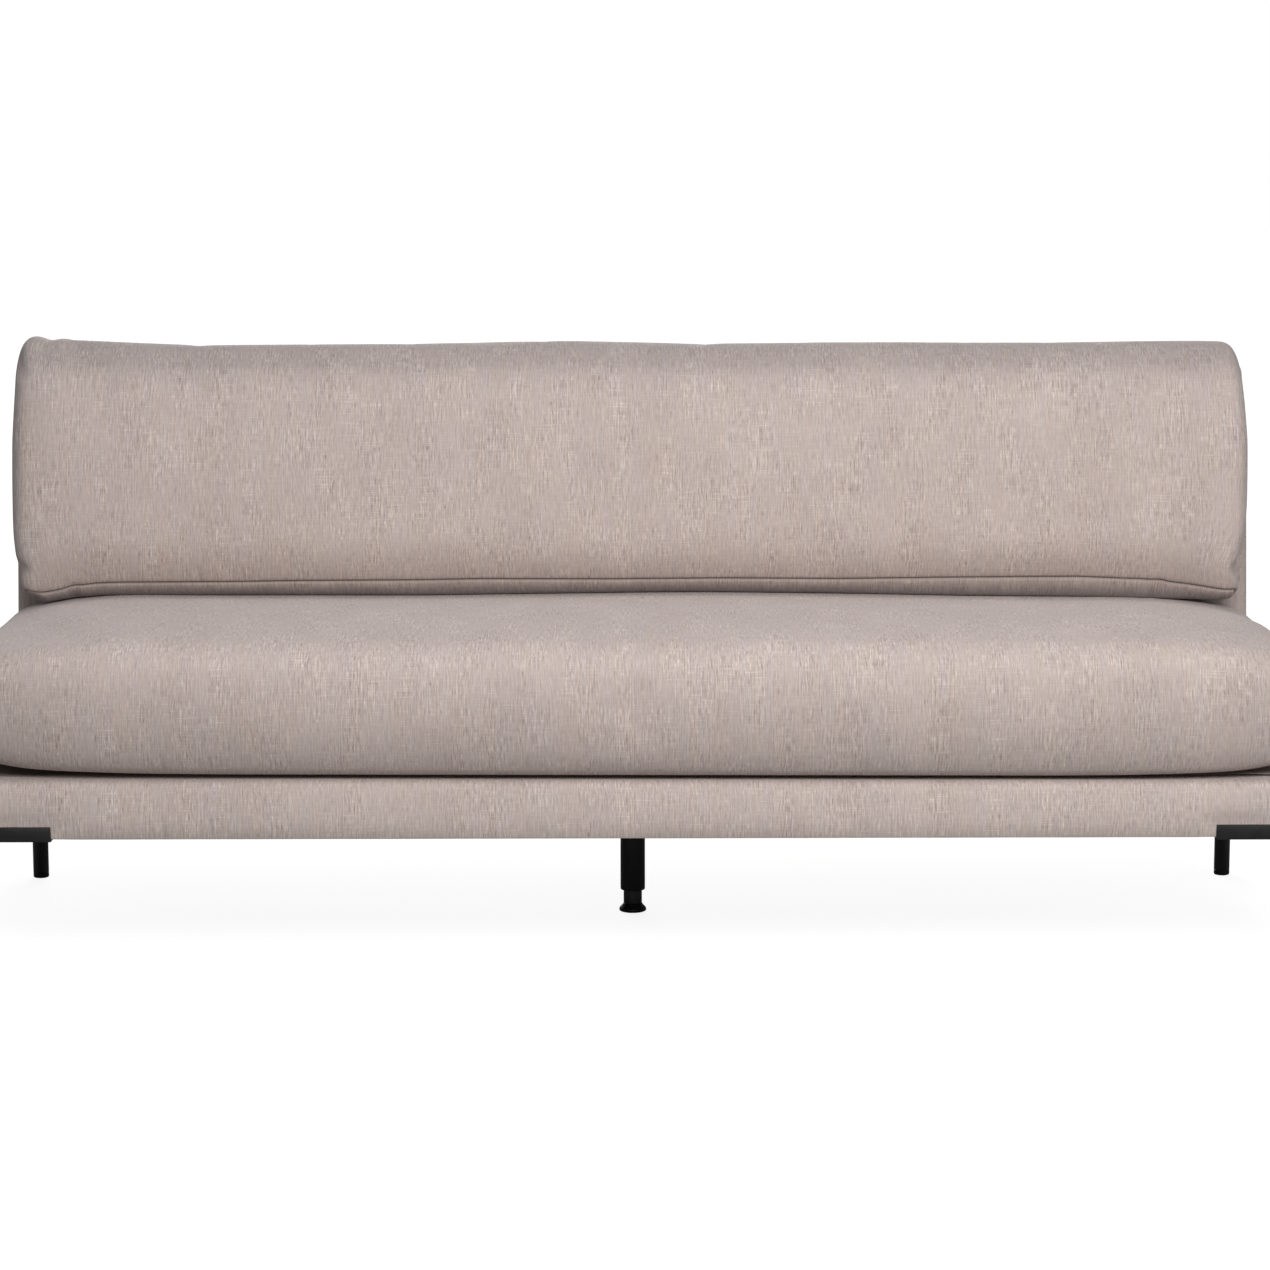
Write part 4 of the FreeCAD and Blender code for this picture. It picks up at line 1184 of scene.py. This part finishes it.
def stretched_sheet(node: str, name: str, finish: Finish, cuts: tuple[int, int], level: float,
                    thickness: float, rise: Callable[[float, float, float], float]) -> bpy.types.Object:
    """Make a lining that is stretched flat on the base.

    Args:
        node: The solid that it stands for.
        name: The piece's name.
        finish: What it is dressed in.
        cuts: Its cells along and across.
        level: The height that it lies at.
        thickness: Its thickness.
        rise: What is added to the height at x, at y and at a distance from the nearest edge.

    Returns:
        The dressed sheet.
    """
    low, high = (Vector(corner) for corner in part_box(node))
    size, middle = high - low, (low + high) / 2.0
    sheet = bmesh.new()
    bmesh.ops.create_grid(sheet, x_segments=cuts[0], y_segments=cuts[1], size=0.5)
    bmesh.ops.scale(sheet, vec=(size.x, size.y, 1.0), verts=sheet.verts)
    bmesh.ops.translate(sheet, vec=(middle.x, middle.y, level), verts=sheet.verts)
    for vert in sheet.verts:
        x, y, _ = vert.co
        vert.co.z += rise(x, y, min(x - low.x, high.x - x, y - low.y, high.y - y))
    bmesh.ops.solidify(sheet, geom=sheet.faces[:], thickness=thickness)
    piece = finished(sheet, name, "bench_frame")
    finish.dress(piece)
    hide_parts(node)
    return piece


@dataclass
class PaddedBase:
    """Low upholstered base, with the deck on it and the dust cover below."""

    body: str = "bench_frame"
    cell: float = 0.013
    radius: float = 0.012
    upper_radius: float = 0.008
    lower_radius: float = 0.004
    rear_radius: float = 0.003
    crown: float = 0.0085
    crown_share: float = 0.33
    crown_hold: float = 0.28
    crown_ripple: float = 0.25
    ripple: Wave = (0.5, 9.0, 1.3, 23.0)
    strap_from: Pair = (0.80, 0.84)
    strap_top: Pair = (0.22, 0.50)
    strap_hold: float = 0.85
    welt: float = 0.0010
    welt_depth: Pair = (0.012, 0.03)
    deck_step: float = 0.0072
    deck_tilt: float = 0.0016
    deck_rear: Pair = (0.12, 0.20)
    tilt_length: float = 0.65
    corner_seam: float = 0.003
    turned_edge: float = 0.0028
    deck_depth: float = 0.0050
    deck_wave: float = 0.0006
    deck_cells: tuple[int, int] = (90, 28)
    deck_thickness: float = 0.0008
    dust_cells: tuple[int, int] = (110, 34)
    dust_thickness: float = 0.0005
    dust_gap: float = 0.0006
    dust_sag: float = 0.0012
    dust_sag_run: float = 0.15

    def box(self) -> SoftBox:
        """The base before its sides swell."""
        return SoftBox(
            low=(-HALF_BASE, BASE_FRONT, BASE_BOTTOM),
            high=(HALF_BASE, BASE_REAR, BASE_TOP),
            cell=self.cell,
            end_radius=self.radius,
            front_radius=(self.lower_radius, self.upper_radius),
            rear_radius=(self.rear_radius, self.rear_radius),
            bottom_radius=(self.lower_radius, self.rear_radius),
            top_radius=(self.upper_radius, self.rear_radius),
        )

    def settle(self, square: np.ndarray, box: SoftBox) -> np.ndarray:
        """Swell the front, let the straps hold it, and drop the top where the seat lies.

        Args:
            square: Vertices of the square box.
            box: The box they belong to.

        Returns:
            The vertices in their settled places.
        """
        points = box.rounded(square)
        _, back, up = box.shares(square).T
        below = up < self.crown_share
        run = np.where(below, self.crown_share, 1.0 - self.crown_share)
        full = 1.0 - ((up - self.crown_share) / run) ** 2
        full = np.where(below, self.crown_hold + (1.0 - self.crown_hold) * full, full)
        ripple = 0.5 + swaying(points[:, 0], self.ripple)
        strap = smooth_step(*self.strap_from, np.abs(square[:, 0])) * (1.0 - smooth_step(*self.strap_top, up))
        swell = self.crown * full * (1.0 - self.crown_ripple * (1.0 - ripple))
        swell *= 1.0 - self.strap_hold * strap
        points[:, 1] -= swell * (back < FLUSH)
        edge = 1.0 - smooth_step(*self.welt_depth, square[:, 1] - BASE_FRONT)
        points[:, 2] -= self.welt * edge * (up < FLUSH)
        ahead = smooth_step(*self.deck_rear, BASE_REAR - square[:, 1])
        step = self.deck_step + self.deck_tilt * np.clip(square[:, 0] / self.tilt_length, -1.0, 1.0)
        points[:, 2] -= step * ahead * up ** 2
        return points

    def build_cover(self) -> bpy.types.Object:
        """Make the sewn cover of the base.

        Returns:
            The dressed cover.
        """
        box = self.box()
        cover = finished(box.mesh(), "base_cover", self.body)
        place(cover, self.settle(places(cover), box))
        corners = [(face, end) for face in (Panel.FRONT, Panel.REAR) for end in (Panel.LEFT, Panel.RIGHT)]
        Seam(tuple(corners), depth=self.corner_seam).sew(cover)
        turned = ((Panel.FRONT, Panel.BOTTOM), (Panel.REAR, Panel.TOP), (Panel.REAR, Panel.BOTTOM))
        Seam(turned, width=self.turned_edge, depth=0.0, shade=0.0).sew(cover)
        # The base wears the lighter copy of the cloth: painted light
        return finish_cover(cover, BASE_CLOTH_PAINTED_LIGHTER, 0.95, "base_front_border", "base_rear_border",
                            "base_left_border", "base_right_border", "base_padding", "deck_pad")

    def deck_rise(self, x: float, y: float, edge: float) -> float:
        """Low waves of the deck's lining."""
        return self.deck_wave * math.sin(x * 41.0) * math.sin(y * 23.0)

    def dust_rise(self, x: float, y: float, edge: float) -> float:
        """Sag of the dust cover away from its stapled edges."""
        sag = self.dust_sag * min(edge / self.dust_sag_run, 1.0)
        return -sag * (0.6 + 0.4 * math.sin(x * 17.0) * math.sin(y * 11.0))

    def build(self) -> list[bpy.types.Object]:
        """Make the cover, the deck's lining and the dust cover.

        Returns:
            The dressed pieces.
        """
        return [self.build_cover(),
                stretched_sheet("deck_cloth", "deck_sheet", DECK_LINING, self.deck_cells,
                                BASE_TOP - self.deck_depth, self.deck_thickness, self.deck_rise),
                stretched_sheet("dust_cover", "dust_cover_sheet", DUST_LINING, self.dust_cells,
                                BASE_BOTTOM - self.dust_gap, self.dust_thickness, self.dust_rise)]


@dataclass
class PaddedBack:
    """Fabric-covered back that leans over the rear of the base."""

    body: str = "bench_frame"
    half_width: float = 0.988
    shift: float = 0.0022
    slope_length: float = 0.546
    radius: float = 0.018
    foot_radius: float = 0.002
    corner: float = 0.026
    corner_reach: float = 0.94
    taper: float = 0.007
    taper_run: Pair = (0.28, 0.52)
    inset_run: Pair = (0.16, 0.01)
    tuck: float = 0.012
    cell: float = 0.013
    rear_bow: float = 0.0009
    edge_seam: float = 0.004

    def box(self) -> SoftBox:
        """The back upright, before it leans."""
        pair = (self.radius, self.radius)
        return SoftBox(
            low=(-self.half_width, -BACK_THICKNESS, -self.tuck),
            high=(self.half_width, 0.0, self.slope_length),
            cell=self.cell,
            end_radius=self.radius,
            front_radius=pair,
            rear_radius=pair,
            bottom_radius=(self.foot_radius, self.foot_radius),
            top_radius=pair,
        )

    def settle(self, square: np.ndarray, box: SoftBox) -> np.ndarray:
        """Bow the rear, lean the back, round its upper corners and draw in its ends.

        Args:
            square: Vertices of the square box.
            box: The box they belong to.

        Returns:
            The vertices in their settled places.
        """
        x, depth, slope = box.rounded(square).T
        along, back, up = box.shares(square).T
        depth = depth + self.rear_bow * domed(along, 4) * domed(up, 4) * (back > 1.0 - FLUSH)
        y = BASE_REAR + depth / math.cos(RECLINE) + slope * math.sin(RECLINE)
        z = BASE_TOP + slope * math.cos(RECLINE) - depth * math.sin(RECLINE) * up
        rise = self.corner_reach * np.clip(1.0 - (self.slope_length - slope) / self.corner, 0.0, 1.0)
        inset = self.corner * (1.0 - np.sqrt(1.0 - rise ** 2))
        inset += self.taper * smooth_step(*self.taper_run, slope)
        inner, outer = (self.half_width - run for run in self.inset_run)
        x = x - np.sign(x) * inset * smooth_step(inner, outer, np.abs(x))
        return np.stack([x + self.shift, y, z], axis=1)

    def build(self) -> bpy.types.Object:
        """Make the covered back.

        Returns:
            The dressed back.
        """
        box = self.box()
        back = finished(box.mesh(), "back_rest", self.body)
        place(back, self.settle(places(back), box))
        edges = tuple((Panel.REAR, side) for side in (Panel.TOP, Panel.LEFT, Panel.RIGHT))
        Seam(edges, depth=self.edge_seam).sew(back)
        return finish_cover(back, CLOTH, 0.95, "back_cover", "back_foam")


def axis_of(node: str) -> Pair:
    """Where the upright axis of a node stands."""
    low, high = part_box(node)
    return ((low.x + high.x) / 2.0, (low.y + high.y) / 2.0)


def weld_bead(radius: float, top: float, size: float, belly: float) -> list[Pair]:
    """Outline of the weld that closes the top of a tube.

    Args:
        radius: The tube's radius.
        top: The height that the tube ends at.
        size: How far the bead stands out.
        belly: How full it is half way down, as a share of its size.

    Returns:
        Radius and height of each corner, from the top down.
    """
    return [(radius + size, top - 0.0002), (radius + size * belly, top - size * 0.4),
            (radius + size * 0.2, top - size * 0.75), (radius, top - size * 1.3)]


def turned_piece(node: str, name: str, body: str, slot: str, outline: Sequence[Pair],
                 axes: Sequence[Pair], steps: int) -> bpy.types.Object:
    """Replace a node by one shape turned on each of a few upright axes.

    Args:
        node: The solid that it stands for.
        name: The piece's name.
        body: The body that it moves with.
        slot: Its material slot.
        outline: Radius and height of each corner. An outline that leaves the axis ends on it again.
        axes: Where each axis stands.
        steps: Faces round an axis.

    Returns:
        The dressed piece.
    """
    mesh = bmesh.new()
    for x, y in axes:
        verts = [mesh.verts.new((x + radius, y, z)) for radius, z in outline]
        pairs = list(zip(verts, verts[1:]))
        if outline[0][0] > 0.0:
            pairs.append((verts[-1], verts[0]))
        edges = [mesh.edges.new(pair) for pair in pairs]
        bmesh.ops.spin(mesh, geom=verts + edges, cent=(x, y, 0.0), axis=(0.0, 0.0, 1.0),
                       angle=2.0 * math.pi, steps=steps, use_merge=True)
    bmesh.ops.remove_doubles(mesh, verts=mesh.verts, dist=MERGE_DISTANCE)
    bmesh.ops.recalc_face_normals(mesh, faces=mesh.faces)
    piece = finished(mesh, name, body)
    piece.data.set_sharp_from_angle(angle=SHARP_ANGLE)
    SLOT_FINISHES[slot].dress(piece)
    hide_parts(node)
    return piece


def eased_steel(node: str, width: float) -> bpy.types.Object:
    """Replace a steel node of the frame by a copy with its sharp edges eased.

    Args:
        node: The solid.
        width: Width of the eased edge.

    Returns:
        The dressed piece.
    """
    mesh = bmesh.new()
    mesh.from_mesh(frame["nodes"][node].data)
    bmesh.ops.remove_doubles(mesh, verts=mesh.verts, dist=MERGE_DISTANCE)
    bmesh.ops.dissolve_limit(mesh, angle_limit=FLAT_ANGLE, verts=mesh.verts, edges=mesh.edges)
    sharp = [edge for edge in mesh.edges
             if len(edge.link_faces) == 2 and edge.calc_face_angle(0.0) > EASED_ANGLE]
    bmesh.ops.bevel(mesh, geom=sharp, offset=width, affect="EDGES", segments=2, profile=0.5, material=-1,
                    clamp_overlap=True)
    piece = finished(mesh, node + "_eased", "bench_frame")
    piece.data.set_sharp_from_angle(angle=SHARP_ANGLE)
    BLACK_STEEL.dress(piece)
    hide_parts(node)
    return piece


@dataclass
class Steelwork:
    """End frames, corner legs and their glides."""

    body: str = "bench_frame"
    leg_nodes: tuple[str, ...] = ("front_left_leg", "front_right_leg", "rear_left_leg", "rear_right_leg")
    edge: float = 0.0007
    radius: float = 0.0125
    wall: float = 0.002
    bottom: float = 0.008
    top: float = 0.192
    weld: float = 0.0032
    glide_top: float = 0.023
    steps: int = 40

    def build(self) -> list[bpy.types.Object]:
        """Make the frames, legs and glides.

        Returns:
            The dressed pieces.
        """
        made = [eased_steel(node, self.edge) for node in ("left_end_frame", "right_end_frame")]
        radius, bottom, bore = self.radius, self.bottom, self.radius - self.wall
        tube = [(radius, bottom + 0.0008), (radius - 0.0006, bottom), (bore, bottom),
                (bore, self.top - 0.0005), *weld_bead(radius, self.top, self.weld, 0.55)]
        for node in self.leg_nodes:
            made.append(turned_piece(node, node + "_tube", self.body, "black_steel", tube,
                                     [axis_of(node)], self.steps))
        plug = bore - 0.0003
        glide = [(0.0, 0.0), (radius - 0.0022, 0.0), (radius - 0.0008, 0.0005), (radius - 0.0001, 0.0018),
                 (radius, 0.003), (radius, bottom - 0.0008), (radius - 0.0007, bottom - 0.0001),
                 (plug, bottom - 0.0001), (plug, self.glide_top - 0.001), (plug - 0.0009, self.glide_top),
                 (0.0, self.glide_top)]
        made.append(turned_piece("leg_glides", "leg_glides_moulded", self.body, "black_plastic", glide,
                                 [axis_of(node) for node in self.leg_nodes], self.steps))
        return made


@dataclass
class CentreLeg:
    """Middle leg: plate, tube, and the screw foot that levels it."""

    axis: Pair = axis_of("centre_leg_plate")
    edge: float = 0.0008
    radius: float = 0.019
    wall: float = 0.002
    bottom: float = 0.034
    top: float = 0.192
    weld: float = 0.004
    thread_pitch: float = 0.002
    thread_crest: float = 0.0079
    thread_root: float = 0.0070
    thread_from: float = 0.0370
    thread_to: float = 0.1060
    stem_top: float = 0.1072

    def tube(self) -> list[Pair]:
        """Outline of the tube, eased at its lower rim."""
        radius, bottom, bore = self.radius, self.bottom, self.radius - self.wall
        return [(radius, bottom + 0.0012), (radius - 0.0004, bottom + 0.0003), (radius - 0.001, bottom),
                (bore + 0.0003, bottom), (bore, bottom + 0.0004), (bore, self.top - 0.0004),
                *weld_bead(radius, self.top, self.weld, 0.5)]

    def spindle(self) -> list[Pair]:
        """Outline of the collar and the threaded stem above it.

        Returns:
            Radius and height of each corner.
        """
        outline = [(0.0, 0.0064), (0.0038, 0.0064), (0.0040, 0.0068), (0.0040, 0.0123), (0.0134, 0.0123),
                   (0.0142, 0.0131), (0.0142, 0.0350), (0.0136, 0.0361), (0.0080, 0.0361)]
        height, pitch = self.thread_from, self.thread_pitch
        while height + pitch < self.thread_to:
            outline += [(self.thread_root, height), (self.thread_crest, height + 0.35 * pitch),
                        (self.thread_crest, height + 0.55 * pitch)]
            height += pitch
        return outline + [(self.thread_root, height), (0.0055, self.stem_top), (0.0, self.stem_top)]

    @staticmethod
    def foot() -> list[Pair]:
        """Outline of the flared foot."""
        return [(0.0, 0.0), (0.0192, 0.0), (0.0204, 0.0006), (0.0210, 0.0020), (0.0209, 0.0036),
                (0.0200, 0.0054), (0.0182, 0.0074), (0.0164, 0.0092), (0.0154, 0.0108), (0.0149, 0.0118),
                (0.0144, 0.0120), (0.0044, 0.0120), (0.0044, 0.0062), (0.0, 0.0062)]

    def build(self) -> list[bpy.types.Object]:
        """Make the leg's pieces.

        Returns:
            The dressed pieces.
        """
        axes = [self.axis]
        return [eased_steel("centre_leg_plate", self.edge),
                turned_piece("centre_leg_tube", "centre_leg_turned_tube", "bench_frame", "black_steel",
                             self.tube(), axes, 56),
                turned_piece("levelling_spindle", "levelling_spindle_threaded", "spindle", "black_steel",
                             self.spindle(), axes, 48),
                turned_piece("levelling_foot", "levelling_foot_moulded", "foot", "black_plastic",
                             self.foot(), axes, 56)]


@dataclass
class Interior:
    """The nodes that stay as they are, dressed by their slots."""

    special: dict[str, Finish] = field(
        default_factory=lambda: {"long_webbing": LONG_WEBBING, "dust_cover": DUST_LINING})

    def dress(self) -> int:
        """Give each carried-over node its finish.

        Returns:
            How many nodes were dressed.
        """
        parts = frame["record"]["subparts"]
        for part in parts:
            finish = self.special.get(part["node"], SLOT_FINISHES[part["material_slot"]])
            finish.dress(frame["nodes"][part["node"]])
        return len(parts)


@dataclass(frozen=True)
class Lamp:
    """A soft rectangular lamp."""

    name: str
    spot: Point
    aim: Point
    size: Pair
    watts: float
    tone: Point = (1.0, 0.985, 0.97)

    def hang(self) -> None:
        """Put the lamp in the scene, unseen by the camera."""
        data = bpy.data.lights.new(self.name, "AREA")
        data.shape = "RECTANGLE"
        data.size, data.size_y = self.size
        data.energy = self.watts
        data.color = self.tone
        lamp = bpy.data.objects.new(self.name, data)
        lamp.visible_camera = False
        lamp.location = self.spot
        lamp.rotation_euler = (Vector(self.aim) - Vector(self.spot)).to_track_quat("-Z", "Y").to_euler()
        bpy.context.scene.collection.objects.link(lamp)


@dataclass
class Studio:
    """Pale floor, soft lamps and the camera."""

    camera_place: Point = (-0.0278, -5.444, 1.2823)
    yaw_deg: float = -0.333
    pitch_deg: float = 8.867
    roll_deg: float = -0.06
    focal_px: float = 3598.6
    frame_px: float = 1270.0
    sensor: float = 36.0
    floor_tone: float = 0.30
    floor_glow: float = 0.88
    floor_glow_run: Pair = (1.2, 2.8)
    fill: float = 0.27
    fill_tone: Colour = (0.97, 0.985, 1.0, 1.0)
    lamps: tuple[Lamp, ...] = (
        Lamp("key", (0.62, -3.1, 2.2), (0.0, 0.0, 0.5), (2.2, 1.3), 92.8),
        Lamp("top", (0.0, -0.5, 3.0), (0.0, -0.1, 0.5), (2.4, 1.2), 20.0, (0.96, 0.97, 1.0)),
        Lamp("side", (3.0, -1.3, 1.4), (0.9, 0.1, 0.5), (1.2, 1.2), 6.0),
        Lamp("rear", (-0.6, 3.4, 1.7), (0.0, 0.3, 0.5), (2.4, 1.3), 60.0))

    def build_camera(self) -> None:
        """Set the camera at the photograph's viewing angle."""
        data = bpy.data.cameras.new("camera")
        data.sensor_width = self.sensor
        data.lens = self.focal_px / self.frame_px * self.sensor
        data.clip_end = 60.0
        camera = bpy.data.objects.new("camera", data)
        bpy.context.scene.collection.objects.link(camera)
        yaw, tilt, roll = (Matrix.Rotation(math.radians(angle), 4, axis) for angle, axis in (
            (self.yaw_deg, "Z"), (90.0 - self.pitch_deg, "X"), (self.roll_deg, "Z")))
        camera.matrix_world = Matrix.Translation(self.camera_place) @ yaw @ tilt @ roll
        bpy.context.scene.camera = camera

    def build_floor(self) -> None:
        """Lay a floor that is white to the eye and keeps the shadow."""
        mesh = bmesh.new()
        bmesh.ops.create_grid(mesh, x_segments=1, y_segments=1, size=25.0)
        data = bpy.data.meshes.new("floor")
        mesh.to_mesh(data)
        mesh.free()
        floor = bpy.data.objects.new("floor", data)
        bpy.context.scene.collection.objects.link(floor)
        material = bpy.data.materials.new("pale_floor")
        material.use_nodes = True
        material.node_tree.nodes.clear()
        s = Sketch(material.node_tree)
        where = s.add("TexCoord").outputs["Object"]
        away = s.add("VectorMath", {0: where}, operation="LENGTH").outputs["Value"]
        white = s.span(away, *self.floor_glow_run, self.floor_glow, 1.0)
        diffuse = s.add("BsdfDiffuse", {"Color": (self.floor_tone, self.floor_tone, self.floor_tone, 1.0)})
        strength = s.maths("MULTIPLY", self.seen_rays(s), white)
        glow = s.add("Emission", {"Color": (1.0, 1.0, 1.0, 1.0), "Strength": strength})
        both = s.add("AddShader", {0: diffuse.outputs[0], 1: glow.outputs[0]})
        s.add("OutputMaterial", {"Surface": both.outputs[0]})
        data.materials.append(material)

    @staticmethod
    def seen_rays(s: Sketch) -> Any:
        """Socket with 1 for rays that show the background, and 0 for rays that light the part."""
        path = s.add("LightPath").outputs
        return s.maths("MAXIMUM", path["Is Camera Ray"], path["Is Transmission Ray"])

    def build_world(self) -> None:
        """Light from all round, white where it is seen."""
        world = bpy.data.worlds.new("studio")
        bpy.context.scene.world = world
        world.use_nodes = True
        world.node_tree.nodes.clear()
        s = Sketch(world.node_tree)
        fill = s.add("Background", {"Color": self.fill_tone, "Strength": self.fill})
        white = s.add("Background", {"Color": (1.0, 1.0, 1.0, 1.0), "Strength": 1.0})
        mixed = s.add("MixShader", {0: self.seen_rays(s), 1: fill.outputs[0], 2: white.outputs[0]})
        s.add("OutputWorld", {"Surface": mixed.outputs[0]})

    def build(self) -> None:
        """Set up the whole studio."""
        self.build_camera()
        self.build_floor()
        self.build_world()
        for lamp in self.lamps:
            lamp.hang()
        bpy.context.scene.view_settings.view_transform = "Standard"


def main() -> None:
    """Build and dress the banquette, then the studio round it."""
    logging.basicConfig(level=logging.INFO, format="%(name)s: %(message)s")
    LOG.info("dressed %d nodes", Interior().dress())
    PaddedBase().build()
    PaddedBack().build()
    SeatCushion().build()
    BackCushion().build()
    Steelwork().build()
    CentreLeg().build()
    Studio().build()


if __name__ == "__main__":
    main()
